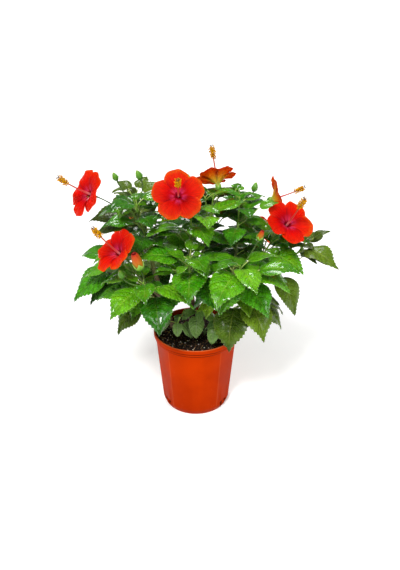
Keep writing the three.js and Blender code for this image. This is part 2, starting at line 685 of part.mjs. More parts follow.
function massSolid({ spec, curve, sides, leaves }, flowers) {
  const isSprout = spec.bare === 0;
  const start = isSprout ? 0 : spec.bare + clearanceShare(curve, spec.bare);
  const solids = [
    ...sides.map((side) => limbSolid(side, SIDE_TWIG)),
    ...leaves.map(leafSolid),
    ...flowers.flatMap(({ item, solid, stalk }) => [
      solid(item),
      limbSolid(stalk, { ...STALK, foot: STALK.radius, tip: STALK.radius }),
    ]),
  ];
  const twig = limbSolid(curve, isSprout ? SPROUT : TWIG, start, 1);
  const mass = solids.reduce((whole, solid) => whole.add(solid), twig);
  return isSprout ? clearOfStem(mass, spec.stem) : mass;
}

claimLimbs();
const flowers = claimFlowers();
const masses = [...BRANCHES, ...SPROUTS].map(grownMass);

addNode("pot", potSolid(), FINISHES.pot);
addNode("potting_mix", mixSolid(), FINISHES.mix);
for (const name of Object.keys(STEMS)) addNode("stem_" + name, stemSolid(name), FINISHES.bark);
for (const spec of BRANCHES) addNode("bough_" + spec.name, boughSolid(spec), FINISHES.greenBark);
for (const mass of masses) {
  const own = flowers.filter(({ item }) => item.branch === mass.spec.name);
  const name = mass.spec.bare === 0 ? mass.spec.name : "foliage_" + mass.spec.name;
  addNode(name, massSolid(mass, own), FINISHES.foliage);
}

export default group;
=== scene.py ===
"""A potted hibiscus in bloom, dressed for the studio.

The plant grows here by the same seeded rule as its solids, and then on to finer twigs and young leaves.
Lengths in the rule are millimetres and degrees, as in the solids. Meshes are made in metres.
"""

import logging
import math
from collections.abc import Callable, Iterable, Sequence
from dataclasses import dataclass, field
from enum import Enum
from functools import cache, partial, wraps
from typing import ClassVar

import bmesh
import bpy
import numpy as np
from mathutils import Matrix, Vector, noise


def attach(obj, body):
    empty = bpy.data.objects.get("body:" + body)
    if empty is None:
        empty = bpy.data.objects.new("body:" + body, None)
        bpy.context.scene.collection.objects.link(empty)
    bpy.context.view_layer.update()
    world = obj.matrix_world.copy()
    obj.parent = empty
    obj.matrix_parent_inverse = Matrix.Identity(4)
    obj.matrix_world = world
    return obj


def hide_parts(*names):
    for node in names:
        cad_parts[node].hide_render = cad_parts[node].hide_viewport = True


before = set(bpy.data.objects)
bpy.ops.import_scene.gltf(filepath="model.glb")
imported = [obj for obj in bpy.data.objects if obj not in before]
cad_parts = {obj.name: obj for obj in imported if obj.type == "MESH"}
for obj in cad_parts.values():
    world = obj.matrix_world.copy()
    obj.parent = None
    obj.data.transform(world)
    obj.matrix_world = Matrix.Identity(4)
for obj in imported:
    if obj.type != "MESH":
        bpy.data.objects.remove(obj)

LOG = logging.getLogger("hibiscus")
MM = 0.001
BODY = "root"

Point = np.ndarray
Shares = np.ndarray
Socket = bpy.types.NodeSocket


# ---- Directions, places and draws ----

UP: Point = np.array((0.0, 0.0, 1.0))
GOLDEN_ANGLE = 137.5


def heading(azimuth: float) -> Point:
    """Returns the level direction at an azimuth, from +X towards +Y."""
    return np.array((math.cos(math.radians(azimuth)), math.sin(math.radians(azimuth)), 0.0))


def aimed(azimuth: float, elevation: float) -> Point:
    """Returns the direction at an azimuth and an elevation."""
    return heading(azimuth) * math.cos(math.radians(elevation)) + UP * math.sin(math.radians(elevation))


def place(azimuth: float, reach: float, height: float) -> Point:
    """Returns the point at an azimuth, a reach from the pot's axis and a height."""
    return heading(azimuth) * reach + UP * height


def unit(direction: Point) -> Point:
    """Returns a direction at length one."""
    return direction / np.linalg.norm(direction)


def outwards(point: Point) -> Point:
    """Returns the level direction from the pot's axis through a point."""
    return unit(point * (1.0, 1.0, 0.0))


def lerp(low: float, high: float, share: float) -> float:
    """Returns the value at a share of the way from one value to another."""
    return low + (high - low) * share


def smooth(value: Shares, low: float, high: float) -> Shares:
    """Returns 0 below one value and 1 above another, with a soft step between them."""
    share = np.clip((np.asarray(value, float) - low) / (high - low), 0.0, 1.0)
    return share * share * (3.0 - 2.0 * share)


def columns(*values: Shares) -> np.ndarray:
    """Returns shares as columns, each ready to scale a direction."""
    return np.stack(values, axis=-1)


class Draws:
    """Draws from 0 to 1, the same on every run of a seed."""

    MASK = 0xFFFFFFFF

    def __init__(self, seed: int) -> None:
        """Starts the draws at a seed."""
        self.state = seed

    def __call__(self) -> float:
        """Takes the next draw.

        Returns:
            A number from 0 to 1.
        """
        self.state = (self.state + 0x6D2B79F5) & self.MASK
        mixed = ((self.state ^ (self.state >> 15)) * (1 | self.state)) & self.MASK
        mixed = ((mixed + ((mixed ^ (mixed >> 7)) * (61 | mixed) & self.MASK)) & self.MASK) ^ mixed
        return ((mixed ^ (mixed >> 14)) & self.MASK) / 4294967296

    def between(self, low: float, high: float) -> float:
        """Returns the next draw, spread from one value to another."""
        return lerp(low, high, self())


@dataclass(frozen=True)
class Bend:
    """A curve from a start to an end, drawn towards a point in between."""

    start: Point
    middle: Point
    end: Point

    @classmethod
    def straight(cls, start: Point, end: Point) -> "Bend":
        """Returns the straight line between two points."""
        return cls(start, start + (end - start) * 0.5, end)

    @classmethod
    def rising(cls, start: Point, end: Point, out: float, up: float) -> "Bend":
        """Makes a curve that runs outwards first and then up.

        Args:
            start: Where it starts.
            end: Where it ends.
            out: How far outwards its middle point lies, as a share.
            up: How high its middle point lies, as a share.

        Returns:
            The curve.
        """
        middle = start + (end - start) * out
        middle[2] = lerp(start[2], end[2], up)
        return cls(start, middle, end)

    @classmethod
    def sprung(cls, root: Point, way: Point, length: float, lift: float) -> "Bend":
        """Returns a twig's line: off one way, and lifted towards its end by a share of its length."""
        return cls(root, root + way * (0.55 * length), root + way * length + UP * (lift * length))

    def at(self, share: float | Shares) -> Point:
        """Returns the point, or the points, at shares of the curve."""
        rest = 1.0 - (along := np.asarray(share, float)[..., None])
        return rest**2 * self.start + 2.0 * rest * along * self.middle + along**2 * self.end

    def tangent(self, share: float | Shares) -> Point:
        """Returns the direction, or the directions, of the curve at shares of it."""
        step = self.at(np.clip(np.add(share, 1e-4), 0, 1)) - self.at(np.clip(np.subtract(share, 1e-4), 0, 1))
        return step / np.linalg.norm(step, axis=-1, keepdims=True)

    def normal(self) -> Point:
        """Returns the normal of the plane that the curve lies in."""
        normal = np.cross(self.middle - self.start, self.end - self.start)
        return unit(normal if np.linalg.norm(normal) > 1e-6 else np.cross(UP, self.end - self.start))

    def out(self, share: float, turn: float) -> Point:
        """Returns the direction across the curve at a share of it, at a turn in radians."""
        normal = self.normal()
        return normal * math.cos(turn) + np.cross(self.tangent(share), normal) * math.sin(turn)


class Axes:
    """A foot, the axis that stands on it, and two directions across that axis."""

    def __init__(self, foot: Point, axis: Point) -> None:
        """Works out the directions across the axis."""
        self.foot, self.axis, self.across = foot, axis, unit(np.cross(UP, axis))
        self.over = np.cross(self.axis, self.across)

    def out(self, turn: float) -> Point:
        """Returns the direction across the axis at a turn in radians."""
        return self.across * math.cos(turn) + self.over * math.sin(turn)

    def at(self, radius: Shares, angle: Shares, height: Shares) -> np.ndarray:
        """Returns points by their radius, their angle and their height over the foot."""
        level = columns(radius * np.cos(angle)) * self.across + columns(radius * np.sin(angle)) * self.over
        return self.foot + columns(height) * self.axis + level


# ---- Measures of the plant ----

GAP = 0.3
OLD_BELOW = 265.0
OLD_FADE = 30.0


class Tone(Enum):
    """The plain base colours that are dealt out to the sprays of leaves, from the youngest on."""

    LIME = 0
    BRIGHT = 1
    FRESH = 2
    DEEP = 3
    OLIVE = 4
    GREY = 5

    def aged(self, share: float, height: float) -> "Tone":
        """Returns the tone of one leaf: younger at its twig's tip, older at its foot, and oldest low down.

        Args:
            share: Where the leaf stands on its twig.
            height: How high the end of its blade hangs, in millimetres.

        Returns:
            The tone itself, or another one.
        """
        if self in (Tone.LIME, Tone.OLIVE, Tone.GREY):
            return self
        if height < OLD_BELOW:
            return Tone.OLIVE if height < OLD_BELOW - OLD_FADE else Tone.DEEP
        step = (share < 0.3) - (share > 0.82)
        return Tone(min(max(self.value + step, Tone.BRIGHT.value), Tone.DEEP.value))


@dataclass(frozen=True)
class Stem:
    """A woody stem, from its foot in the mix to its tip, as azimuth, reach and height."""

    foot: tuple[float, float]
    tip: tuple[float, float, float]
    foot_radius: float = 8.0
    tip_radius: float = 5.2
    flare: float = 4.6
    flare_share: float = 0.16

    def curve(self) -> Bend:
        """Returns the stem's line, which leans out of the mix and straightens as it rises."""
        return Bend.rising(place(*self.foot, Pot.SOIL + GAP), place(*self.tip), 0.7, 0.45)

    def radius(self, share: Shares) -> Shares:
        """Returns the stem's radius at shares of its length, with the flare at its foot."""
        taper = lerp(self.foot_radius, self.tip_radius, share)
        return taper + self.flare * np.maximum(0, 1 - share / self.flare_share) ** 2


@dataclass(frozen=True)
class Branch:
    """A bough that leaves a stem, and the mass of twigs and leaves at its tip."""

    name: str
    stem: str
    at: float
    tip: tuple[float, float, float]
    bare: float
    leaves: int
    leaf: float
    turn: float
    twigs: int
    seed: int
    tone: Tone

    @property
    def is_sprout(self) -> bool:
        """True for a short leafy sprout with no bare bough."""
        return self.bare == 0

    @property
    def node(self) -> str:
        """The name of the mass's solid."""
        return self.name if self.is_sprout else "foliage_" + self.name

    def curve(self) -> Bend:
        """Works out the branch's line: out of its stem and then up, or straight on from the stem's tip.

        Returns:
            The line.
        """
        parent, end = STEMS[self.stem].curve(), place(*self.tip)
        if self.at < 1:
            return Bend.rising(parent.at(self.at), end, 0.66, 0.42)
        line = parent.tangent(1.0)
        start = parent.at(1.0) + line * GAP
        return Bend(start, start + line * (0.4 * np.linalg.norm(end - start)), end)


@dataclass(frozen=True)
class BloomSpec:
    """A bloom on its branch: where its stalk ends, which way it faces and how far it is open."""

    branch: str
    at: float
    calyx: tuple[float, float, float]
    faces: tuple[float, float]
    size: float
    open: float
    spin: float


@dataclass(frozen=True)
class BudSpec:
    """A bud on its branch. A ripe one shows its furled petals."""

    branch: str
    at: float
    foot: tuple[float, float, float]
    length: float
    ripe: bool


STEMS: dict[str, Stem] = {
    "left": Stem((-160, 42), (-163, 88, 330)),
    "middle": Stem((95, 16), (-118, 24, 352)),
    "right": Stem((-12, 40), (-22, 86, 326)),
}

BRANCHES: tuple[Branch, ...] = (
    Branch("front_left", "left", 0.62, (-128, 178, 400), 0.4, 8, 97, 170, 1, 56, Tone.BRIGHT),
    Branch("front_right", "right", 0.78, (-53, 157, 433), 0.36, 9, 101, 170, 1, 35, Tone.BRIGHT),
    Branch("front_middle", "middle", 0.66, (-96, 113, 446), 0.36, 8, 101, -160, 1, 52, Tone.BRIGHT),
    Branch("left", "left", 0.8, (-163, 168, 427), 0.4, 7, 96, -115, 1, 93, Tone.BRIGHT),
    Branch("right", "right", 0.9, (1, 179, 448), 0.4, 8, 94, 10, 1, 45, Tone.BRIGHT),
    Branch("far_left", "left", 0.7, (179, 200, 392), 0.42, 7, 100, -80, 1, 26, Tone.FRESH),
    Branch("far_right", "right", 0.7, (3, 251, 418), 0.42, 8, 106, -55, 1, 56, Tone.OLIVE),
    Branch("low_right", "right", 0.52, (-30, 136, 323), 0.42, 8, 103, -135, 0, 71, Tone.OLIVE),
    Branch("low_left", "left", 0.5, (-168, 123, 291), 0.42, 4, 86, -140, 0, 30, Tone.BRIGHT),
    Branch("low_front", "middle", 0.5, (-36, 136, 329), 0.42, 5, 78, -105, 0, 20, Tone.LIME),
    Branch("upper_left", "left", 1, (-165, 137, 546), 0.4, 9, 80, -5, 2, 99, Tone.FRESH),
    Branch("centre_front", "middle", 1, (-97, 57, 541), 0.42, 8, 90, -120, 1, 13, Tone.BRIGHT),
    Branch("upper_back", "middle", 0.8, (47, 61, 528), 0.36, 8, 96, -50, 2, 55, Tone.DEEP),
    Branch("upper_right", "right", 1, (0, 96, 539), 0.4, 10, 71, 15, 2, 35, Tone.FRESH),
    Branch("back_left", "left", 0.88, (143, 176, 506), 0.4, 8, 96, 155, 2, 26, Tone.OLIVE),
    Branch("back", "middle", 0.7, (97, 153, 466), 0.4, 8, 93, 85, 2, 12, Tone.BRIGHT),
    Branch("back_right", "right", 0.84, (51, 167, 493), 0.4, 9, 96, 100, 2, 53, Tone.FRESH),
    Branch("low_back_left", "left", 0.55, (115, 176, 355), 0.44, 7, 100, 120, 1, 1, Tone.FRESH),
    Branch("low_back_right", "right", 0.6, (44, 163, 365), 0.44, 7, 100, 45, 1, 93, Tone.FRESH),
)

SPROUTS: tuple[Branch, ...] = (
    Branch("sprout_left", "left", 0.2, (-120, 73, 270), 0, 5, 42, -130, 0, 93, Tone.GREY),
    Branch("sprout_middle", "middle", 0.22, (-66, 34, 275), 0, 6, 52, -85, 0, 63, Tone.GREY),
    Branch("sprout_right", "right", 0.2, (-50, 84, 256), 0, 5, 44, -40, 0, 62, Tone.GREY),
)

BLOOMS: tuple[BloomSpec, ...] = (
    BloomSpec("upper_left", 0.55, (-174, 216, 547), (-150, 30), 1, 0.92, 56),
    BloomSpec("left", 0.7, (-141, 191, 448), (-150, 47), 1.05, 0.8, 50),
    BloomSpec("centre_front", 0.8, (-112, 93, 568), (-88, 38), 0.96, 1, 18),
    BloomSpec("upper_back", 0.8, (48, 80, 527), (104, 46), 1.1, 0.62, 40),
    BloomSpec("upper_right", 0.6, (12, 163, 515), (6, 12), 0.94, 0.9, 10),
    BloomSpec("right", 0.85, (-10, 197, 477), (-56, 53), 1.05, 0.88, 30),
    BloomSpec("low_back_left", 0.8, (132, 225, 380), (126, 24), 0.95, 0.85, 0),
    BloomSpec("low_back_right", 0.8, (44, 208, 379), (50, 28), 0.95, 0.9, 30),
)

BUDS: tuple[BudSpec, ...] = (
    BudSpec("front_left", 0.7, (-127, 188, 436), 46, True),
    BudSpec("front_left", 0.85, (-136, 210, 414), 22, False),
    BudSpec("upper_left", 0.75, (-173, 168, 582), 20, False),
    BudSpec("upper_left", 0.9, (-168, 118, 586), 23, False),
    BudSpec("front_right", 0.85, (-40, 172, 484), 26, True),
    BudSpec("back", 0.8, (96, 176, 500), 26, False),
    BudSpec("back_right", 0.8, (44, 190, 498), 24, False),
)


# ---- Small meshes that are bent to many shapes, and pieces gathered from them ----


def linked(name: str, data: bpy.types.ID) -> bpy.types.Object:
    """Returns a new object of the scene that shows a mesh, or is a lamp or a camera."""
    bpy.context.scene.collection.objects.link(made := bpy.data.objects.new(name, data))
    return made


def shaped(name: str, bm: bmesh.types.BMesh) -> bpy.types.Mesh:
    """Makes a mesh of a shape, which is freed.

    Args:
        name: The mesh's name.
        bm: The shape.

    Returns:
        The mesh.
    """
    mesh = bpy.data.meshes.new(name)
    bm.to_mesh(mesh)
    bm.free()
    return mesh


def turn_share(co: Vector) -> float:
    """Returns a vertex's turn about Z as a share of a full one."""
    return (math.atan2(co.y, co.x) / math.tau) % 1.0


def bevel_edges(bm: bmesh.types.BMesh, edges: list[bmesh.types.BMEdge], offset: float, steps: int) -> None:
    """Rounds edges of a shape by an offset, in a number of steps."""
    bmesh.ops.bevel(bm, geom=edges, offset=offset, segments=steps, profile=0.5, affect="EDGES", material=-1)


class Stamp:
    """A small mesh that is bent to many shapes. Its flat map and its faces' finishes go with it."""

    MAP = "flat"
    TINT = "tint"
    wraps = False

    def __init__(self, bm: bmesh.types.BMesh, flat: Callable[[Vector], tuple[float, float]]) -> None:
        """Keeps a mesh with its flat map.

        Args:
            bm: The shape, which is freed.
            flat: Gives a vertex's place on the flat map.
        """
        tint = bm.verts.layers.float.new(self.TINT)
        layer = bm.loops.layers.uv.new(self.MAP)
        for vertex in bm.verts:
            vertex[tint] = 0.5
        for face in bm.faces:
            face.smooth = True
            spots = [flat(loop.vert.co) for loop in face.loops]
            wraps = max(spot[1] for spot in spots) > 0.75
            for loop, (along, across) in zip(face.loops, spots):
                turned = across + 1 if wraps and across < 0.25 and self.wraps else across
                loop[layer].uv = (along, turned)
        self.mesh = shaped("stamp", bm)
        row = np.zeros(3 * len(self.mesh.vertices), np.float32)
        self.mesh.vertices.foreach_get("co", row)
        self.places = row.reshape(-1, 3).astype(float)


class SheetStamp(Stamp):
    """A thin closed sheet: X from 0 to 1 along it, Y from -1 to 1 across it, Z 0 above and -1 below."""

    def __init__(self, along: int, across: int, pointed_tip: bool) -> None:
        """Makes the sheet from a grid.

        Args:
            along: Faces from end to end.
            across: Faces from side to side.
            pointed_tip: True where the sheet runs out to a point, and not to an edge.
        """
        bm = bmesh.new()
        bmesh.ops.create_grid(bm, x_segments=along, y_segments=across, size=1)
        bmesh.ops.scale(bm, vec=(0.5, 1, 1), verts=bm.verts)
        bmesh.ops.translate(bm, vec=(0.5, 0, 0), verts=bm.verts)
        for end in (0.0, 1.0) if pointed_tip else (0.0,):
            row = [vertex for vertex in bm.verts if abs(vertex.co.x - end) < 1e-4]
            bmesh.ops.pointmerge(bm, verts=row, merge_co=(end, 0, 0))
        bmesh.ops.solidify(bm, geom=bm.faces[:], thickness=1)
        bmesh.ops.recalc_face_normals(bm, faces=bm.faces[:])
        for face in bm.faces:
            face.material_index = int(face.normal.z < -0.5)
            if abs(face.normal.z) < 0.5:
                for edge in face.edges:
                    edge.smooth = False
        super().__init__(bm, lambda co: (co.x, (co.y + 1) / 2))


class TubeStamp(Stamp):
    """A closed round rod, or an open cup, of radius 1 along Z from 0 to 1."""

    wraps = True

    def __init__(self, sides: int, steps: int, wall: float = 0.0) -> None:
        """Makes the rod or the cup.

        Args:
            sides: Faces round it.
            steps: Faces along it.
            wall: Thickness of a cup's wall, or 0 for a rod.
        """
        bm = bmesh.new()
        bmesh.ops.create_cone(bm, cap_ends=not wall, segments=sides, radius1=1, radius2=1, depth=1)
        bmesh.ops.translate(bm, vec=(0, 0, 0.5), verts=bm.verts)
        risers = [edge for edge in bm.edges if abs(edge.verts[0].co.z - edge.verts[1].co.z) > 0.5]
        bmesh.ops.subdivide_edges(bm, edges=risers, cuts=steps - 1)
        if wall:
            bmesh.ops.recalc_face_normals(bm, faces=bm.faces[:])
            bmesh.ops.solidify(bm, geom=bm.faces[:], thickness=wall)
            bmesh.ops.recalc_face_normals(bm, faces=bm.faces[:])
        super().__init__(bm, lambda co: (co.z, turn_share(co)))

    def bent(
        self, curve: Bend, radius: Callable[[Shares], Shares], start: float = 0.0, end: float = 1.0
    ) -> np.ndarray:
        """Bends the rod along a curve.

        Args:
            curve: The line that the rod follows.
            radius: Gives the radius at shares of the curve.
            start: Share of the curve where the rod starts.
            end: Share of the curve where it ends.

        Returns:
            Rows of points in millimetres.
        """
        x, y, z = self.places.T
        along = lerp(start, end, z)
        normal = curve.normal()
        across = np.cross(curve.tangent(along), normal)
        wide = np.broadcast_to(radius(along), along.shape)
        return curve.at(along) + columns(x * wide) * normal + across * columns(y * wide)


class BallStamp(Stamp):
    """A closed ball of radius 1 with its poles on Z. Its map runs from the lower pole to the upper one."""

    wraps = True

    def __init__(self, around: int, high: int) -> None:
        """Makes the ball.

        Args:
            around: Faces round it.
            high: Faces from pole to pole.
        """
        bm = bmesh.new()
        bmesh.ops.create_uvsphere(bm, u_segments=around, v_segments=high, radius=1)
        super().__init__(bm, lambda co: (1 - math.acos(max(-1.0, min(1.0, co.z))) / math.pi, turn_share(co)))

    def turned(self, axes: Axes, outline: Callable[[Shares, Shares], tuple[Shares, Shares]]) -> np.ndarray:
        """Reshapes the ball to an outline round an axis.

        Args:
            axes: Where its lower pole stands, and the way to its upper one.
            outline: Gives radii and heights at shares from pole to pole, and at turns in radians.

        Returns:
            Rows of points in millimetres.
        """
        x, y, z = self.places.T
        turn = np.arctan2(y, x)
        radius, height = outline(1 - np.arccos(np.clip(z, -1, 1)) / np.pi, turn)
        return axes.at(radius, turn, height)


class BeadStamp(Stamp):
    """A closed bead of twenty faces."""

    def __init__(self) -> None:
        """Makes the bead."""
        bm = bmesh.new()
        bmesh.ops.create_icosphere(bm, subdivisions=1, radius=1)
        super().__init__(bm, lambda co: (co.z, 0.5))


class ChipStamp(Stamp):
    """A block with worn edges, for one chip of bark or one pale grain."""

    def __init__(self, worn: float) -> None:
        """Makes the chip.

        Args:
            worn: How far its edges are worn off, as a share of its size.
        """
        bm = bmesh.new()
        bmesh.ops.create_cube(bm, size=2)
        bevel_edges(bm, bm.edges[:], worn, 1)
        super().__init__(bm, lambda co: (co.z, 0.5))


class Gathering:
    """Bent copies of small meshes, gathered into one piece."""

    def __init__(self, bm: bmesh.types.BMesh | None = None) -> None:
        """Starts a piece, empty or with its whole shape."""
        self.bm = bmesh.new() if bm is None else bm
        self.count = int(bm is not None)

    def add(self, stamp: Stamp, points: np.ndarray, tint: float = 0.5) -> None:
        """Adds one bent copy.

        Args:
            stamp: The small mesh.
            points: Where its vertices are, in millimetres.
            tint: Where this copy's colour lies between its finish's two base colours.
        """
        mesh = stamp.mesh
        mesh.vertices.foreach_set("co", np.ascontiguousarray(points * MM, np.float32).ravel())
        mesh.attributes[Stamp.TINT].data.foreach_set("value", np.full(len(points), tint, np.float32))
        self.bm.from_mesh(mesh)
        self.count += 1

    def finish(
        self, name: str, finishes: Sequence["Finish"], slot: str, nodes: Iterable[str] = ()
    ) -> bpy.types.Object:
        """Makes the piece, dresses it and hands it to the frame.

        Args:
            name: The piece's name.
            finishes: Its finishes, in the order of its faces' numbers.
            slot: Not used.
            nodes: The solids that it stands for.

        Returns:
            The piece.
        """
        self.bm.normal_update()
        piece = linked(name, shaped(name, self.bm))
        for finish in finishes:
            piece.data.materials.append(finish.material())
        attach(piece, BODY)
        replaced = sorted(nodes)
        if replaced:
            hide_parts(*replaced)
        triangles = sum(len(face.vertices) - 2 for face in piece.data.polygons)
        LOG.info("%s: %d shapes, %d triangles, for %d solids", name, self.count, triangles, len(replaced))
        return piece


# ---- Nodes, shared effects and finishes ----


def paint(code: str) -> tuple[float, float, float, float]:
    """Reads a colour given as on a paint chart.

    Args:
        code: The colour as #rrggbb.

    Returns:
        The linear values that shaders take.
    """
    parts = (int(code[i : i + 2], 16) / 255 for i in (1, 3, 5))
    red, green, blue = (p / 12.92 if p <= 0.04045 else ((p + 0.055) / 1.055) ** 2.4 for p in parts)
    return red, green, blue, 1.0


class Tree:
    """The nodes of one material or effect, placed and joined by short calls."""

    def __init__(self, tree: bpy.types.NodeTree) -> None:
        """Wraps a node tree."""
        self.tree = tree

    def feed(self, socket: Socket, source: object) -> None:
        """Joins a socket to another one, or sets its plain value.

        Args:
            socket: The input.
            source: The other socket, a value or a colour's code.
        """
        if isinstance(source, Socket):
            self.tree.links.new(source, socket)
        else:
            socket.default_value = paint(source) if isinstance(source, str) else source

    def node(
        self, kind: str, feeds: dict[int | str, object], output: int | str = 0, **settings: object
    ) -> Socket:
        """Places a node.

        Args:
            kind: The node's type, without its first word.
            feeds: What feeds its inputs, by their names or numbers.
            output: Which output to return.
            settings: Properties to set on it.

        Returns:
            The output.
        """
        made = self.tree.nodes.new("ShaderNode" + kind)
        for name, value in settings.items():
            setattr(made, name, value)
        for label, source in feeds.items():
            self.feed(made.inputs[label], source)
        return made.outputs[output]

    def math(self, operation: str, *sources: object) -> Socket:
        """Returns the result of a sum on values."""
        return self.node("Math", dict(enumerate(sources)), operation=operation)

    def times(self, first: object, second: object) -> Socket:
        """Returns one value times another."""
        return self.math("MULTIPLY", first, second)

    def folded(self, value: Socket) -> Socket:
        """Returns how far a share lies from one half, from 0 to 1."""
        return self.math("ABSOLUTE", self.math("MULTIPLY_ADD", value, 2.0, -1.0))

    def step(self, value: Socket, low: float, high: float, bottom: float = 0.0, top: float = 1.0) -> Socket:
        """Returns a soft step of a value, from its bottom at the low end to its top at the high end."""
        feeds = {"Value": value, "From Min": low, "From Max": high, "To Min": bottom, "To Max": top}
        return self.node("MapRange", feeds, interpolation_type="SMOOTHSTEP")

    def blend(self, share: object, first: object, second: object) -> Socket:
        """Returns a colour between two colours."""
        return self.node("Mix", {0: share, 6: first, 7: second}, 2, data_type="RGBA")

    def ramp(self, share: Socket, stops: Sequence[tuple[float, str]]) -> Socket:
        """Looks up a colour on a scale of colours.

        Args:
            share: Where on the scale to look.
            stops: Places on the scale with their colours.

        Returns:
            The colour.
        """
        colour = self.node("ValToRGB", {0: share})
        scale = colour.node.color_ramp.elements
        while len(scale) < len(stops):
            scale.new(0.5)
        for element, (position, code) in zip(scale, stops):
            element.position = position
            element.color = paint(code)
        return colour

    def stretched(self, where: Socket, *scale: float) -> Socket:
        """Returns coordinates scaled along each axis."""
        return self.node("Mapping", {"Vector": where, "Scale": scale})

    def noise(self, where: Socket, scale: float | Socket, detail: float = 3.0) -> Socket:
        """Returns soft clouds from 0 to 1, with finer ones laid over them."""
        return self.node("TexNoise", {"Vector": where, "Scale": scale, "Detail": detail, "Roughness": 0.55})

    def cells(self, where: Socket, scale: float, feature: str) -> Socket:
        """Returns the distance to the edge, or to the middle, of cells."""
        return self.node("TexVoronoi", {"Vector": where, "Scale": scale}, "Distance", feature=feature)

    def parts(self, vector: Socket) -> tuple[Socket, ...]:
        """Returns a vector's three parts."""
        return tuple(self.node("SeparateXYZ", {0: vector}).node.outputs)

    def spot(self) -> Socket:
        """Returns the place on the object."""
        return self.node("TexCoord", {}, "Object")

    def flat(self) -> Socket:
        """Returns the place on the piece's own flat map."""
        return self.node("UVMap", {}, uv_map=Stamp.MAP)

    def tint(self) -> Socket:
        """Returns the shape's own tint."""
        return self.node("Attribute", {}, "Fac", attribute_type="GEOMETRY", attribute_name=Stamp.TINT)

    def effect(self, shared: bpy.types.NodeTree, **sources: object) -> dict[str, Socket]:
        """Returns the outputs, by name, of a shared effect that is placed and fed."""
        feeds = {name.capitalize(): source for name, source in sources.items()}
        return dict(self.node("Group", feeds, node_tree=shared).node.outputs.items())

    def surface(self, colour: Socket, relief: Socket, depth: float, strength: float) -> None:
        """Joins a colour, and a relief of a depth in metres and a strength, to the material's shader."""
        normal = self.node("Bump", {"Strength": strength, "Distance": depth, "Height": relief})
        self.shade({"Base Color": colour, "Normal": normal})

    def shade(self, feeds: dict[str, object]) -> None:
        """Joins or sets inputs of the material's shader."""
        for label, source in feeds.items():
            self.feed(self.tree.nodes["Principled BSDF"].inputs[label], source)


Join = Callable[..., dict[str, Socket]]


def shared_effect(name: str, **inputs: float | None) -> Callable[[Join], Callable[[], bpy.types.NodeTree]]:
    """Turns a function that joins an effect's nodes into one that gives its node group, built once.

    Args:
        name: The group's name.
        inputs: Its inputs, each with its plain value, or None for a place.

    Returns:
        The decorator.
    """

    def wrap(join: Join) -> Callable[[], bpy.types.NodeTree]:
        """Wraps the function.

        Args:
            join: Joins the nodes and returns the outputs by name.

        Returns:
            What gives the node group.
        """

        @cache
        @wraps(join)
        def group() -> bpy.types.NodeTree:
            """Builds the group.

            Returns:
                The node group.
            """
            made = bpy.data.node_groups.new(name, "ShaderNodeTree")
            for label, value in inputs.items():
                kind = "NodeSocketVector" if value is None else "NodeSocketFloat"
                socket = made.interface.new_socket(label.capitalize(), in_out="INPUT", socket_type=kind)
                if value is not None:
                    socket.default_value = value
            sources = made.nodes.new("NodeGroupInput").outputs[: len(inputs)]
            outputs = join(Tree(made), *sources)
            for label in outputs:
                made.interface.new_socket(label, in_out="OUTPUT", socket_type="NodeSocketFloat")
            end = made.nodes.new("NodeGroupOutput")
            for label, source in outputs.items():
                made.links.new(source, end.inputs[label])
            return made

        return group

    return wrap


@shared_effect("leaf_veins", flat=None, pairs=7.0)
def leaf_veins(tree: Tree, flat: Socket, pairs: Socket) -> dict[str, Socket]:
    """Joins a leaf's veins: a midrib, pairs of side veins, a pale margin, and the net between them.

    Args:
        tree: The effect's nodes.
        flat: The place on the leaf's flat map.
        pairs: How many pairs of side veins there are.

    Returns:
        The ribs as a mask, and the leaf's relief.
    """
    along, across, _ = tree.parts(flat)
    aside = tree.folded(across)
    midrib = tree.step(aside, 0.012, 0.06, 1.0, 0.0)
    leaning = tree.math("SUBTRACT", along, tree.times(aside, Leaf.LEAN))
    line = tree.folded(tree.math("FRACT", tree.times(leaning, pairs)))
    side = tree.times(tree.step(line, 0.86, 0.98), tree.step(aside, 0.55, 1.0, 0.75, 0.1))
    ribs = tree.math("MAXIMUM", tree.math("MAXIMUM", midrib, side), tree.step(aside, 0.9, 1.0, 0.0, 0.6))
    net = tree.step(tree.cells(tree.stretched(flat, 1.0, 0.66, 1.0), 17.0, "DISTANCE_TO_EDGE"), 0.0, 0.26)
    hollow = tree.times(tree.math("POWER", line, 3.0), 0.5)
    puffed = tree.math("SUBTRACT", tree.times(net, 0.6), hollow)
    relief = tree.math("ADD", tree.math("SUBTRACT", puffed, tree.times(ribs, 0.4)), 0.9)
    return {"Ribs": ribs, "Relief": relief}


@shared_effect("limb_grain", spot=None, scale=400.0)
def limb_grain(tree: Tree, spot: Socket, scale: Socket) -> dict[str, Socket]:
    """Joins a fibrous grain that runs along a limb.

    Args:
        tree: The effect's nodes.
        spot: The place on the limb.
        scale: How many fibres there are to a metre.

    Returns:
        The grain from 0 to 1, and the scars across it.
    """
    fibres = tree.noise(tree.stretched(spot, 1.0, 1.0, 0.16), scale, 4.0)
    rings = tree.noise(tree.stretched(spot, 0.3, 0.3, 1.4), scale, 2.0)
    return {"Grain": tree.step(fibres, 0.3, 0.7), "Scars": tree.step(rings, 0.56, 0.66)}


@shared_effect("petal_streaks", flat=None, lines=30.0)
def petal_streaks(tree: Tree, flat: Socket, lines: Socket) -> dict[str, Socket]:
    """Returns fine lines that fan out along a petal or a bud, from 0 to 1."""
    return {"Streaks": tree.step(tree.noise(tree.stretched(flat, 0.08, 1.0, 1.0), lines, 2.0), 0.36, 0.64)}


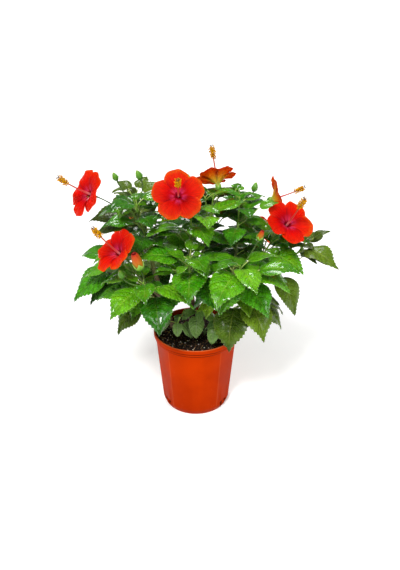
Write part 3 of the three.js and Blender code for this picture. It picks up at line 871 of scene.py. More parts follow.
@dataclass(frozen=True)
class Finish:
    """The look of one kind of surface."""

    name: str
    roughness: float = 0.5
    specular: float = 0.5
    coat: float = 0.0
    coat_roughness: float = 0.3
    seep: float = 0.0

    MADE: ClassVar[dict[str, bpy.types.Material]] = {}

    def material(self) -> bpy.types.Material:
        """Makes the finish's material on first use.

        Returns:
            The material.
        """
        if self.name not in self.MADE:
            made = self.MADE[self.name] = bpy.data.materials.new(self.name)
            made.use_nodes = True
            tree = Tree(made.node_tree)
            tree.shade({"Roughness": self.roughness, "Specular IOR Level": self.specular})
            tree.shade({"Coat Weight": self.coat, "Coat Roughness": self.coat_roughness})
            tree.shade({"Subsurface Weight": self.seep, "Subsurface Scale": 0.003})
            tree.shade({"Subsurface Radius": (1.0, 0.6, 0.2)})
            self.dress(tree)
        return self.MADE[self.name]

    def dress(self, tree: Tree) -> None:
        """Joins the finish's pattern to its shader."""
        raise NotImplementedError


@dataclass(frozen=True)
class LeafFinish(Finish):
    """A leaf's upper or lower side: two base colours between which each leaf has its own, and paler ribs."""

    dark: str = "#1c5a14"
    light: str = "#3f9a1c"
    ribs: str = "#a8cf62"
    rib_share: float = 0.6
    relief: float = 0.5

    def dress(self, tree: Tree) -> None:
        """Joins veins, clouds and a quilted relief to the shader.

        Args:
            tree: The material's nodes.
        """
        veins = tree.effect(leaf_veins(), flat=tree.flat())
        clouds = tree.noise(tree.spot(), 38.0, 4.0)
        share = tree.math("MULTIPLY_ADD", tree.step(clouds, 0.3, 0.7), 0.4, tree.times(tree.tint(), 0.6))
        blade = tree.blend(share, self.dark, self.light)
        ribbed = tree.blend(tree.times(veins["Ribs"], self.rib_share), blade, self.ribs)
        tree.surface(ribbed, veins["Relief"], 0.004, self.relief)
        tree.shade({"Roughness": tree.step(clouds, 0.25, 0.75, self.roughness - 0.06, self.roughness + 0.1)})


@dataclass(frozen=True)
class PetalFinish(Finish):
    """A petal's inner or outer side, with its colours from the throat to the rim."""

    scale: tuple[tuple[float, str], ...] = ((0.0, "#7a0020"), (1.0, "#f02a0a"))
    patch_share: float = 0.0
    veil: float = 0.2
    # Strength of the painted shade along the sides where petals overlap.
    overlap_shade: float = 0.0

    # Dark red of the petal's own fine lines, and of the painted shade where petals overlap.
    STREAK_AND_SHADE: ClassVar[str] = "#8e0510"
    PATCH: ClassVar[str] = "#ff3a70"

    def dress(self, tree: Tree) -> None:
        """Joins the scale of colours, the fine lines, the painted shade on the sides where petals overlap and
        the pale patch to the shader.

        Args:
            tree: The material's nodes.
        """
        flat = tree.flat()
        along, across, _ = tree.parts(flat)
        streaks = tree.effect(petal_streaks(), flat=flat)["Streaks"]
        shift = tree.math("MULTIPLY_ADD", tree.tint(), 0.2, -0.14)
        bled = tree.math("ADD", along, tree.math("MULTIPLY_ADD", streaks, 0.1, shift))
        aside = tree.folded(across)
        # Painted shade along the petal's sides, where the petals overlap, fading out towards the rim.
        overlap_shade = tree.times(tree.step(aside, 0.55, 1.0), tree.step(along, 0.7, 1.0, self.overlap_shade, 0.0))
        streaks_and_shade = tree.math("MAXIMUM", tree.times(streaks, self.veil), overlap_shade)
        shaded = tree.blend(streaks_and_shade, tree.ramp(bled, self.scale), self.STREAK_AND_SHADE)
        if self.patch_share:
            fading = tree.math("ADD", along, tree.times(streaks, 0.16))
            patch = tree.times(tree.step(along, 0.17, 0.26), tree.step(fading, 0.34, 0.56, 1.0, 0.0))
            patch = tree.times(patch, tree.step(aside, 0.05, 0.4))
            thin = tree.times(patch, tree.math("MULTIPLY_ADD", streaks, self.patch_share, 0.1))
            shaded = tree.blend(thin, shaded, self.PATCH)
        tree.surface(shaded, streaks, 0.0012, 0.55)
        clouds = tree.noise(tree.spot(), 60.0)
        tree.shade({"Roughness": tree.step(clouds, 0.3, 0.7, self.roughness - 0.08, self.roughness + 0.08)})


@dataclass(frozen=True)
class GreenwoodFinish(Finish):
    """Young bark: green towards the tip and brown towards the foot."""

    foot: str = "#5b4a26"
    tip: str = "#7fa63a"
    turn: tuple[float, float] = (0.0, 0.5)

    def dress(self, tree: Tree) -> None:
        """Joins the change of colour along the limb and a fine grain to the shader.

        Args:
            tree: The material's nodes.
        """
        grain = tree.effect(limb_grain(), spot=tree.spot(), scale=520.0)
        ripe = tree.math("MULTIPLY_ADD", grain["Grain"], 0.16, tree.parts(tree.flat())[0])
        bark = tree.blend(tree.step(ripe, *self.turn), self.foot, self.tip)
        scarred = tree.blend(tree.times(grain["Scars"], 0.3), bark, "#c9c39a")
        tree.surface(scarred, grain["Grain"], 0.0004, 0.35)


@dataclass(frozen=True)
class BarkFinish(Finish):
    """Old bark: grey-brown plates, darker cracks and pale scars."""

    dark: str = "#2b1c11"
    light: str = "#86674a"

    def dress(self, tree: Tree) -> None:
        """Joins the cracked bark to the shader.

        Args:
            tree: The material's nodes.
        """
        grain = tree.effect(limb_grain(), spot=tree.spot(), scale=260.0)
        plates = tree.times(grain["Grain"], tree.step(tree.noise(tree.spot(), 55.0, 4.0), 0.3, 0.7))
        bark = tree.blend(plates, self.dark, self.light)
        scarred = tree.blend(tree.times(grain["Scars"], 0.35), bark, "#b09a78")
        tree.surface(scarred, plates, 0.0012, 0.6)


@dataclass(frozen=True)
class BudFinish(Finish):
    """A bud's skin, with its colours from its foot to its mouth."""

    scale: tuple[tuple[float, str], ...] = ((0.0, "#4f8a1e"), (1.0, "#b8c24a"))

    def dress(self, tree: Tree) -> None:
        """Joins the scale of colours and the fine lines to the shader.

        Args:
            tree: The material's nodes.
        """
        flat = tree.flat()
        streaks = tree.effect(petal_streaks(), flat=flat, lines=16.0)["Streaks"]
        bled = tree.math("ADD", tree.parts(flat)[0], tree.math("MULTIPLY_ADD", streaks, 0.12, -0.06))
        tree.surface(tree.ramp(bled, self.scale), streaks, 0.0006, 0.4)


@dataclass(frozen=True)
class FuzzFinish(Finish):
    """A small soft part, mottled between two base colours."""

    dark: str = "#c06a10"
    light: str = "#ffd24a"
    scale: float = 900.0

    def dress(self, tree: Tree) -> None:
        """Joins the mottling to the shader.

        Args:
            tree: The material's nodes.
        """
        clouds = tree.step(tree.noise(tree.spot(), self.scale), 0.35, 0.65)
        share = tree.math("MULTIPLY_ADD", clouds, 0.5, tree.times(tree.tint(), 0.5))
        tree.surface(tree.blend(share, self.dark, self.light), clouds, 0.0004, 0.5)


@dataclass(frozen=True)
class PotFinish(Finish):
    """Moulded orange plastic: scuffed pale in places and dusty at its foot, with painted highlights at its
    lip and along the edges of its flats, painted shade in its grooves, and painted shade that darkens it
    towards its foot.
    """

    body: str = "#c63800"
    # Darker colour of the mottling, and of the painted shade towards the foot.
    deep: str = "#9a2400"
    # Pale colour of real scuffs, and of the painted highlights at the lip and along the edges of the flats.
    worn: str = "#f08a52"
    # Painted shade in the two grooves under the bands round the mouth.
    groove_shade: str = "#4a1204"
    dust: str = "#7a4a30"

    def dress(self, tree: Tree) -> None:
        """Joins the mottling, the painted shade towards the foot, the painted highlights at the lip and along
        the flats' edges, the painted shade in the grooves, the scuffs, the dust and the orange peel to the
        shader.

        Args:
            tree: The material's nodes.
        """
        spot = tree.spot()
        height = tree.parts(spot)[2]
        clouds = tree.step(tree.noise(spot, 14.0), 0.3, 0.7)
        streaks = tree.noise(tree.stretched(spot, 1.0, 1.0, 0.07), 40.0)
        share = tree.math("MULTIPLY_ADD", clouds, 0.3, tree.times(streaks, 0.3))
        # Painted shade: darker towards the foot and lighter towards the mouth, as the light falls.
        share = tree.math("ADD", share, tree.step(height, 0.01, 0.18, 0.0, 0.4))
        plain = tree.blend(share, self.deep, self.body)
        # Real scuffs, and painted highlights at the lip and along the flats' edges.
        worn = tree.blend(self._scuffs_and_highlights(tree, spot), plain, self.worn)
        # Painted shade darkens the grooves under the bands.
        groove_shaded = tree.blend(self._painted_groove_shade(tree, height), worn, self.groove_shade)
        dust = tree.times(tree.step(height, 0.0, 0.022, 0.3, 0.0), clouds)
        tree.surface(tree.blend(dust, groove_shaded, self.dust), tree.noise(spot, 900.0, 2.0), 0.0002, 0.25)
        tree.shade({"Roughness": tree.math("MULTIPLY_ADD", clouds, 0.12, self.roughness - 0.06)})

    @staticmethod
    def _scuffs_and_highlights(tree: Tree, spot: Socket) -> Socket:
        """Works out how far the colour is lightened: painted highlights at the lip and along the edges of the
        flats, and real wear in scuffs.

        Args:
            tree: The material's nodes.
            spot: The place on the pot.

        Returns:
            The scuffs and painted highlights from 0 to 1.
        """
        pot = Pot()
        x, y, height = tree.parts(spot)
        scuffs = tree.step(tree.noise(tree.stretched(spot, 1.0, 1.0, 0.5), 230.0, 5.0), 0.66, 0.78)
        turn = tree.math("ADD", tree.math("ARCTAN2", y, x), math.radians(360 - pot.slot_azimuths[0]))
        flats = tree.times(turn, len(pot.slot_azimuths) / math.tau)
        across = tree.math("SUBTRACT", tree.math("FRACT", tree.math("ADD", flats, 0.5)), 0.5)
        edge = pot.flat_half / 360 * len(pot.slot_azimuths)
        off_edge = tree.math("ABSOLUTE", tree.math("SUBTRACT", tree.math("ABSOLUTE", across), edge))
        on_wall = tree.step(height, 0.176, 0.18, 0.12, 0.0)
        # Painted highlight along the top of the lip.
        lip_highlight = tree.step(height, Pot.HEIGHT * MM - 0.0022, Pot.HEIGHT * MM, 0.0, 0.4)
        # Painted highlight along the edges of the flats, on the wall only.
        edge_highlight = tree.times(tree.step(off_edge, 0.002, 0.012, 1.0, 0.0), on_wall)
        return tree.math("MAXIMUM", tree.times(scuffs, 0.2), tree.math("MAXIMUM", lip_highlight, edge_highlight))

    @staticmethod
    def _painted_groove_shade(tree: Tree, height: Socket) -> Socket:
        """Works out where painted shade darkens the two grooves below the bands round the mouth.

        Args:
            tree: The material's nodes.
            height: The height on the pot.

        Returns:
            The painted shade from 0 to 1.
        """
        depths: list[Socket] = []
        for level in (Pot().collar_top, Pot().collar_foot):
            away = tree.math("ABSOLUTE", tree.math("SUBTRACT", height, (level - 0.7) * MM))
            depths.append(tree.step(away, 0.0007, 0.0021, 0.95, 0.0))
        return tree.math("MAXIMUM", *depths)


@dataclass(frozen=True)
class MixFinish(Finish):
    """Damp dark potting mix with brown fibres."""

    dark: str = "#0d0806"
    light: str = "#3b261a"

    def dress(self, tree: Tree) -> None:
        """Joins the crumbs and fibres to the shader.

        Args:
            tree: The material's nodes.
        """
        crumbs = tree.step(tree.noise(tree.spot(), 240.0, 6.0), 0.35, 0.65)
        share = tree.math("MULTIPLY_ADD", crumbs, 0.6, tree.times(tree.tint(), 0.4))
        relief = tree.math("SUBTRACT", crumbs, tree.times(tree.cells(tree.spot(), 380.0, "F1"), 0.6))
        tree.surface(tree.blend(share, self.dark, self.light), relief, 0.002, 0.8)


@dataclass(frozen=True)
class FloorFinish(Finish):
    """A plain pale floor with hardly any mottling, lit a little from below."""

    glow: float = 0.2

    def dress(self, tree: Tree) -> None:
        """Joins the faint mottling and the light from below to the shader."""
        tree.shade({"Emission Color": (1.0, 1.0, 1.0, 1.0), "Emission Strength": self.glow})
        tree.shade({"Base Color": tree.blend(tree.noise(tree.spot(), 3.0, 2.0), "#f4f4f2", "#fbfbfa")})


LEAF_TOPS: dict[Tone, LeafFinish] = {
    Tone.LIME: LeafFinish("leaf_lime", 0.36, 0.3, 0.5, 0.16, 0, "#66a800", "#a8d616", "#e0f28a", 0.45, 0.8),
    Tone.BRIGHT: LeafFinish(
        "leaf_bright", 0.34, 0.3, 0.7, 0.14, 0, "#2c8a00", "#82d20c", "#bce658", 0.36, 0.9
    ),
    Tone.FRESH: LeafFinish("leaf_fresh", 0.34, 0.24, 0.6, 0.14, 0, "#1a6002", "#5aba0a", "#9ace42", 0.32, 1),
    Tone.DEEP: LeafFinish("leaf_deep", 0.38, 0.2, 0.5, 0.16, 0, "#103c04", "#3a800c", "#80aa40", 0.32, 1),
    Tone.OLIVE: LeafFinish("leaf_olive", 0.42, 0.2, 0.3, 0.22, 0, "#385404", "#6e9014", "#b2c058", 0.34, 0.8),
    Tone.GREY: LeafFinish("leaf_grey", 0.5, 0.2, 0.3, 0.24, 0, "#548a36", "#9cc668", "#dceac0", 0.5, 0.8),
}
LEAF_UNDERS: dict[Tone, LeafFinish] = {
    Tone.LIME: LeafFinish("leaf_lime_under", 0.5, 0.2, dark="#7aa80e", light="#a4c828", ribs="#dcec86"),
    Tone.BRIGHT: LeafFinish("leaf_bright_under", 0.5, 0.2, dark="#528c08", light="#80b01a", ribs="#c4dc70"),
    Tone.FRESH: LeafFinish("leaf_fresh_under", 0.5, 0.2, dark="#3f7408", light="#689812", ribs="#a8c45c"),
    Tone.DEEP: LeafFinish("leaf_deep_under", 0.5, 0.2, dark="#2a4e06", light="#4c7414", ribs="#8ca852"),
    Tone.OLIVE: LeafFinish("leaf_olive_under", 0.55, 0.2, dark="#4c6008", light="#76861c", ribs="#b0b864"),
    Tone.GREY: LeafFinish("leaf_grey_under", 0.55, 0.2, dark="#567440", light="#7c9c64", ribs="#b8ca9c"),
}
# The inner side carries painted shade where the petals overlap.
PETAL_INSIDE = PetalFinish(
    "petal_inside", 0.45, 0.04, seep=0.7, patch_share=0.9, veil=0.4, overlap_shade=0.75,
    scale=(
        (0.0, "#4c0010"), (0.14, "#8e001c"), (0.26, "#b80222"), (0.42, "#d00208"), (0.62, "#e60e02"),
        (0.94, "#f22202"), (1.0, "#f64608"),
    ),
)  # fmt: skip
PETAL_OUTSIDE = PetalFinish(
    "petal_outside", 0.55, 0.1, seep=0.9, veil=0.12,
    scale=((0.0, "#ffe45a"), (0.3, "#ffaa32"), (0.5, "#ff6a18"), (0.72, "#fa3c0c"), (1.0, "#fa3e10")),
)  # fmt: skip
COLUMN_FINISH = BudFinish(
    "column", 0.45, 0.4,
    scale=((0.0, "#f0a0a0"), (0.25, "#d0403c"), (0.6, "#b83c1c"), (0.74, "#c07010"), (1.0, "#d0902c")),
)  # fmt: skip
CALYX_FINISH = BudFinish(
    "calyx", 0.45, 0.4, 0.1, scale=((0.0, "#3d6d14"), (0.4, "#5f9a22"), (0.8, "#86b83a"), (1.0, "#a6c95a"))
)
RIPE_BUD_FINISH = BudFinish(
    "ripe_bud", 0.5, 0.15,
    scale=(
        (0.0, "#7a8a1a"), (0.24, "#b48a1e"), (0.5, "#bc7a1c"), (0.72, "#c05018"), (0.84, "#b01c10"),
        (0.9, "#5a040c"),
    ),
)  # fmt: skip
GREEN_BUD_FINISH = BudFinish(
    "green_bud", 0.42, 0.4, 0.15,
    scale=((0.0, "#33620f"), (0.5, "#4e8a1a"), (0.85, "#6da32c"), (1.0, "#a5ae3a")),
)  # fmt: skip
ANTHER_FINISH = FuzzFinish("anther", 0.8, 0.1, dark="#b87400", light="#f4b804")
FILAMENT_FINISH = FuzzFinish("filament", 0.5, 0.1, dark="#b86c08", light="#e8a01c", scale=700.0)
STIGMA_FINISH = FuzzFinish("stigma", 0.6, 0.3, dark="#1c0606", light="#5a1414")
STALK_FINISH = GreenwoodFinish("stalk", 0.5, 0.4, foot="#4f7a1e", tip="#3b5a20", turn=(0.2, 0.9))
PETIOLE_FINISH = GreenwoodFinish("petiole", 0.45, 0.4, 0.1, foot="#7a9a38", tip="#a9c25a", turn=(0.1, 0.9))
TWIG_FINISH = GreenwoodFinish("twig_bark", 0.5, 0.4, 0.05, foot="#55651f", tip="#7fb032", turn=(0.1, 0.8))
BOUGH_FINISH = GreenwoodFinish("bough_bark", 0.62, 0.4, foot="#5a4426", tip="#6b7a2c", turn=(0.25, 1.05))
BARK_FINISH = BarkFinish("old_bark", 0.85, 0.3)
POT_FINISH = PotFinish("orange_plastic", 0.4, 0.012)
MIX_FINISH = MixFinish("damp_mix", 0.9, 0.3)
CHIP_FINISH = FuzzFinish("bark_chips", 0.85, 0.3, dark="#1c100a", light="#6b4630", scale=300.0)
FIBRE_FINISH = FuzzFinish("mix_fibres", 0.8, 0.2, dark="#5a3c24", light="#c8a070", scale=300.0)
GRAIN_FINISH = FuzzFinish("pale_grains", 0.8, 0.3, dark="#b5aa98", light="#f0ece2", scale=500.0)
FLOOR_FINISH = FloorFinish("studio_floor", 0.85, 0.2)


# ---- Keeping clear of what has grown ----


class Room:
    """The room that pieces keep to each other, in millimetres, and the share of it within one mass."""

    BLADE = 4.3
    BLADE_LENGTH = 80.0
    STALK = 3.4
    PETAL = 5.0
    SPACING = 8.0
    OWN = 0.6


@dataclass(frozen=True)
class Probes:
    """Points of a shape, and the room that it keeps round them."""

    points: np.ndarray
    room: float

    @property
    def centre(self) -> Point:
        """The middle of the points."""
        return self.points.mean(axis=0)

    @property
    def reach(self) -> float:
        """How far the points lie from their middle."""
        return float(np.linalg.norm(self.points - self.centre, axis=1).max())

    @classmethod
    def of_limb(cls, curve: Bend, radius: float, start: float = 0.0, end: float = 1.0) -> "Probes":
        """Takes points along a limb.

        Args:
            curve: The limb's line.
            radius: The room to keep round it.
            start: Share of the curve where the limb starts.
            end: Share of the curve where it ends.

        Returns:
            The limb's probes.
        """
        span = float(np.linalg.norm(curve.at(end) - curve.at(start)))
        count = max(1, math.ceil(span / Room.SPACING))
        return cls(curve.at(lerp(start, end, np.arange(count + 1) / count)), radius)


class Clearance:
    """Everything that has grown, so that the next piece can keep clear of it."""

    MOST = 8192

    def __init__(self) -> None:
        """Starts with nothing grown."""
        self.groups: list[Probes] = []
        self.owners: list[str] = []
        self.table = np.zeros((self.MOST, 5))

    def claim(self, groups: Iterable[Probes], owner: str) -> None:
        """Takes the room of a piece that has grown.

        Args:
            groups: The piece's probes.
            owner: The mass that it belongs to.
        """
        for group in groups:
            self.table[len(self.groups)] = (*group.centre, group.reach, group.room)
            self.groups.append(group)
            self.owners.append(owner)

    def is_clear(self, group: Probes, owner: str) -> bool:
        """Tells whether a new shape keeps its room to everything that has grown.

        Args:
            group: The new shape's probes.
            owner: The mass that it belongs to.

        Returns:
            True where it is clear.
        """
        known = self.table[: len(self.groups)]
        own = np.where(np.array(self.owners) == owner, Room.OWN, 1.0)
        rooms = (known[:, 4] + group.room) * own
        far = np.linalg.norm(known[:, :3] - group.centre, axis=1) > group.reach + known[:, 3] + rooms
        for index in np.flatnonzero(~far):
            gaps = self.groups[index].points[:, None] - group.points[None]
            if (np.einsum("abc,abc->ab", gaps, gaps) < rooms[index] ** 2).any():
                return False
        return True

    def are_clear(self, groups: Sequence[Probes], owner: str) -> bool:
        """Tells whether all of a piece's shapes are clear."""
        return all(self.is_clear(group, owner) for group in groups)


# ---- Leaves, blooms and buds as shapes ----


@dataclass(frozen=True)
class Leaf:
    """A leaf on its stalk, in millimetres and radians."""

    root: Point
    base: Point
    direction: Point
    pitch: float
    droop: float
    roll: float
    length: float
    half: float
    share: float
    upright: Point = field(default_factory=lambda: UP)

    STALK = 0.42
    WIDTH = 0.8
    NARROW = 0.16
    FOLD = 0.2
    ROUNDNESS = 0.62
    OUTWARD = 0.55
    PAIRS = 7.0
    LEAN = 0.25
    TOOTH = 0.012
    LOBE = 0.075
    POINT = 0.42
    QUILT = 0.026
    WAVE = 0.03
    THICKNESS = 0.45

    def axes(self, along: Shares) -> tuple[np.ndarray, np.ndarray, np.ndarray]:
        """Works out the midrib's points, and the directions across and above the blade there.

        Args:
            along: Shares of the blade from its base to its tip.

        Returns:
            Three arrays of rows.
        """
        side = np.cross(self.upright, self.direction)
        angle = self.pitch - self.droop * along
        out = self.length * (math.sin(self.pitch) - np.sin(angle)) / self.droop
        rise = self.length * (np.cos(angle) - math.cos(self.pitch)) / self.droop
        midrib = self.base + columns(out) * self.direction + columns(rise) * self.upright
        normal = columns(-np.sin(angle)) * self.direction + columns(np.cos(angle)) * self.upright
        across = side * math.cos(self.roll) + normal * math.sin(self.roll)
        above = normal * math.cos(self.roll) - side * math.sin(self.roll)
        return midrib, across, above

    def points(self, along: Shares, aside: Shares) -> np.ndarray:
        """Works out points of the plain blade, as its solid has them.

        Args:
            along: Shares of the blade's length.
            aside: Shares of its half width, to either side.

        Returns:
            Rows of points.
        """
        midrib, across, above = self.axes(along)
        half = self.half * np.sin(np.pi * along**self.ROUNDNESS)
        lift = self.FOLD * np.abs(aside) * half
        return midrib + across * columns(aside * half) + above * columns(lift)

    def probes(self) -> list[Probes]:
        """Takes points of its blade and its stalk.

        Returns:
            Both as probes.
        """
        grids = np.meshgrid(lerp(0.02, 1, np.arange(10) / 9), lerp(-1, 1, np.arange(7) / 6))
        blade = self.points(*(grid.ravel() for grid in grids))
        return [
            Probes(blade, Room.BLADE * min(1.0, self.length / Room.BLADE_LENGTH)),
            Probes.of_limb(Bend.straight(self.root, self.base), Room.STALK, 0.4, 1),
        ]

    def stalk(self) -> Bend:
        """Returns the stalk's line, a little arched."""
        middle = self.root + (self.base - self.root) * 0.55 + UP * (0.05 * self.length)
        return Bend(self.root, middle, self.base)

    def dressed(self, stamp: SheetStamp, rows: int, draws: Draws, is_round: bool) -> np.ndarray:
        """Bends a sheet to the blade with its teeth, lobes, quilting and waves.

        Args:
            stamp: The sheet.
            rows: Faces along that sheet. Every second row ends in a tooth.
            draws: The leaf's own draws.
            is_round: True for a full round blade, in place of one drawn in to a point.

        Returns:
            Rows of points in millimetres.
        """
        along, aside, below = stamp.places.T
        edge = np.abs(aside)
        bite = np.where(np.round(along * rows) % 2 == 0, 1.0, -0.8) * draws.between(0.8, 1.15)
        margin = np.where(edge > 0.99, 1.0, 0.3 * (edge > 0.7))
        toothed = smooth(along, 0.16, 0.42) * (1 - smooth(along, 0.86, 1.0)) * margin
        lobe = self.LOBE * edge**1.6 * (1 - along) ** 7
        reach = along + self.TOOTH * bite * toothed - lobe * smooth(along, 0.0, 0.03)
        midrib, across, above = self.axes(reach)
        outline = np.maximum(np.sin(np.pi * along**self.ROUNDNESS), 0.0)
        outline = outline**0.7 if is_round else outline * (1 - self.POINT * smooth(along, 0.58, 1.0))
        half = self.half * outline + (self.TOOTH + 0.001) * self.length * bite * toothed
        fold = self.FOLD * self.half * outline * (1.7 * edge - 1.25 * edge**2)
        phase = (along - self.LEAN * edge) * self.PAIRS
        puff = np.abs(np.sin(np.pi * phase)) ** 0.8 * (1 - edge**4) * smooth(edge, 0.0, 0.25)
        swing = draws.between(0, math.tau) + np.where(aside > 0, draws.between(0.5, 2.5), 0.0)
        sway = edge**2 * np.sin(math.tau * draws.between(1.1, 1.7) * along + swing)
        hook = self.WAVE * self.length * smooth(along, 0.75, 1.0) * draws.between(-1, 1)
        thick = self.THICKNESS * min(1.0, self.length / 60)
        relief = self.length * (self.QUILT * puff + self.WAVE * sway)
        lift = fold + relief * smooth(along, 0.0, 0.1) * (1 - smooth(along, 0.93, 1.0)) + below * thick
        return midrib + across * columns(aside * half + hook) + above * columns(lift)


class Bloom(Axes):
    """A bloom in its own axes: five petals round a throat, and the column that stands out of it."""

    PETALS = 5
    NOTCH = 0.15
    WIDTH = 114.0
    DEPTH = 20.0
    SHUT_DEPTH = 2.6
    COLUMN = 90.0
    THROAT = 6.0
    OVERLAP = 1.9
    RUFFLE = 2.1
    THICKNESS = 0.35

    def __init__(self, spec: BloomSpec) -> None:
        """Stands the bloom on its calyx."""
        super().__init__(place(*spec.calyx), aimed(*spec.faces))
        self.spec = spec

    def radius(self, along: Shares) -> Shares:
        """Returns how far the petals reach out at shares of their length."""
        return self.WIDTH / 2 * self.spec.size * lerp(0.35, 1, self.spec.open) * along**1.2

    @property
    def deep(self) -> float:
        """How deep the bloom is, deeper where it is still half shut."""
        return self.DEPTH * self.spec.size * lerp(self.SHUT_DEPTH, 1, self.spec.open)

    def depth(self, along: Shares) -> Shares:
        """Returns the petals' height over the foot at shares of their length."""
        return self.THROAT + self.deep * np.sin(np.pi / 2 * along**0.8)

    def funnel(self, height: Shares) -> Shares:
        """Returns the petals' radius at heights over the foot."""
        rise = np.clip((height - self.THROAT) / self.deep, 0.0, 1.0)
        return self.radius((np.arcsin(rise) * 2 / np.pi) ** 1.25)

    def probes(self) -> list[Probes]:
        """Takes points of the petals and of the column.

        Returns:
            Both as probes.
        """
        grids = np.meshgrid(lerp(0.3, 1, np.arange(5) / 4), np.radians(np.arange(24) * 15.0))
        along, turn = (grid.T.ravel() for grid in grids)
        notch = 1 - self.NOTCH * along * np.abs(np.sin(self.PETALS * turn / 2)) ** 3
        points = self.at(self.radius(along) * notch, math.radians(self.spec.spin) + turn, self.depth(along))
        return [Probes(points, Room.PETAL), Probes.of_limb(self.column(), Room.PETAL + 2)]

    def column(self) -> Bend:
        """Works out the column's line, which turns up a little towards its end.

        Returns:
            The line.
        """
        length = self.COLUMN * self.spec.size
        end = self.foot + self.axis * length + UP * (0.12 * length)
        return Bend(self.foot, self.foot + self.axis * (0.6 * length), end)

    def petal(self, stamp: SheetStamp, index: int, draws: Draws) -> np.ndarray:
        """Bends a sheet to one petal. It lies over the next one with one side, and under the last.

        Args:
            stamp: The sheet.
            index: Which of the petals it is.
            draws: The petal's own draws.

        Returns:
            Rows of points in millimetres.
        """
        along, aside, below = stamp.places.T
        edge = np.abs(aside)
        half_turn = np.radians(46 - 6 * self.spec.open * smooth(along, 0.5, 1.0))
        waves = 0.009 * self.spec.open * along**6 * np.sin(3.4 * np.pi * aside + draws.between(0, math.tau))
        rounding = 1 - 0.24 * edge**3 * smooth(along, 0.25, 1.0)
        angle = half_turn * aside + math.radians(5) * along**2
        share = along * rounding + waves
        ruffled = np.sin(2.2 * np.pi * aside + draws.between(0, math.tau))
        ruffle = self.RUFFLE * self.spec.open * along**4 * ruffled
        fine = 0.4 * along**7 * np.sin(5.3 * np.pi * aside + draws.between(0, math.tau))
        pleats = 0.55 * np.sin(9 * np.pi * aside) * along * (1 - along) * 4
        curl = draws.between(2.0, 5.5) * self.spec.open * along**5
        lift = self.OVERLAP * aside * along**0.5 + ruffle + fine + pleats - curl + self.THICKNESS * below
        turn = math.radians(self.spec.spin + 360 / self.PETALS * index) + angle
        return self.at(self.radius(share), turn, self.depth(share) + lift * self.spec.size)


class Bud(Axes):
    """A bud on its stalk, which leans a little outwards."""

    FURLED = (
        (0.0, 0.1, 0.3, 0.5, 0.68, 0.8, 0.86, 0.92, 1.0),
        (0.0, 0.5, 0.92, 1.0, 0.86, 0.62, 0.42, 0.3, 0.0),
        (0.0, 0.02, 0.2, 0.46, 0.76, 0.97, 1.0, 0.9, 0.8),
    )
    CLOSED = (
        (0.0, 0.15, 0.35, 0.55, 0.75, 0.9, 1.0),
        (0.0, 0.6, 0.98, 0.98, 0.66, 0.3, 0.0),
        (0.0, 0.04, 0.26, 0.52, 0.78, 0.93, 1.0),
    )

    def __init__(self, spec: BudSpec) -> None:
        """Stands the bud on its stalk.

        Args:
            spec: The bud's measures.
        """
        foot = place(*spec.foot)
        super().__init__(foot, unit(outwards(foot) + UP * 2.4))
        self.spec = spec
        self.radius = spec.length * (0.24 if spec.ripe else 0.3)

    def funnel(self, height: Shares) -> Shares:
        """Returns the furled petals' radius at heights over the foot."""
        return self.radius * np.interp(height / self.spec.length, (0.0, 0.2, 0.46), (0.5, 0.95, 1.0))

    def probes(self) -> list[Probes]:
        """Returns the bud's probes."""
        line = Bend.straight(self.foot, self.foot + self.axis * self.spec.length)
        return [Probes.of_limb(line, self.radius + 2)]

    def outline(self, share: Shares, turn: Shares) -> tuple[Shares, Shares]:
        """Works out petals wound round each other and open at the mouth, or a closed bud with ribs.

        Args:
            share: Shares from pole to pole.
            turn: Turns in radians.

        Returns:
            Radii and heights.
        """
        stops, radii, heights = self.FURLED if self.spec.ripe else self.CLOSED
        radius, height = np.interp(share, stops, radii), np.interp(share, stops, heights)
        if self.spec.ripe:
            fold = (turn / math.tau * Bloom.PETALS + share * 1.3) % 1.0
            relief = 0.88 + fold * 0.13 * np.sin(np.pi * share)
        else:
            relief = 1 + 0.09 * np.cos(Bloom.PETALS * turn) * np.sin(np.pi * share)
        return self.radius * radius * relief, self.spec.length * height


# ---- The rule that grows the plant ----


@dataclass
class Mass:
    """A mass at a bough's tip: its main twig, its side twigs and its leaves."""

    branch: Branch
    curve: Bend
    sides: list[Bend] = field(default_factory=list)
    leaves: list[Leaf] = field(default_factory=list)
    fine_twigs: list[Bend] = field(default_factory=list)
    young_leaves: list[Leaf] = field(default_factory=list)


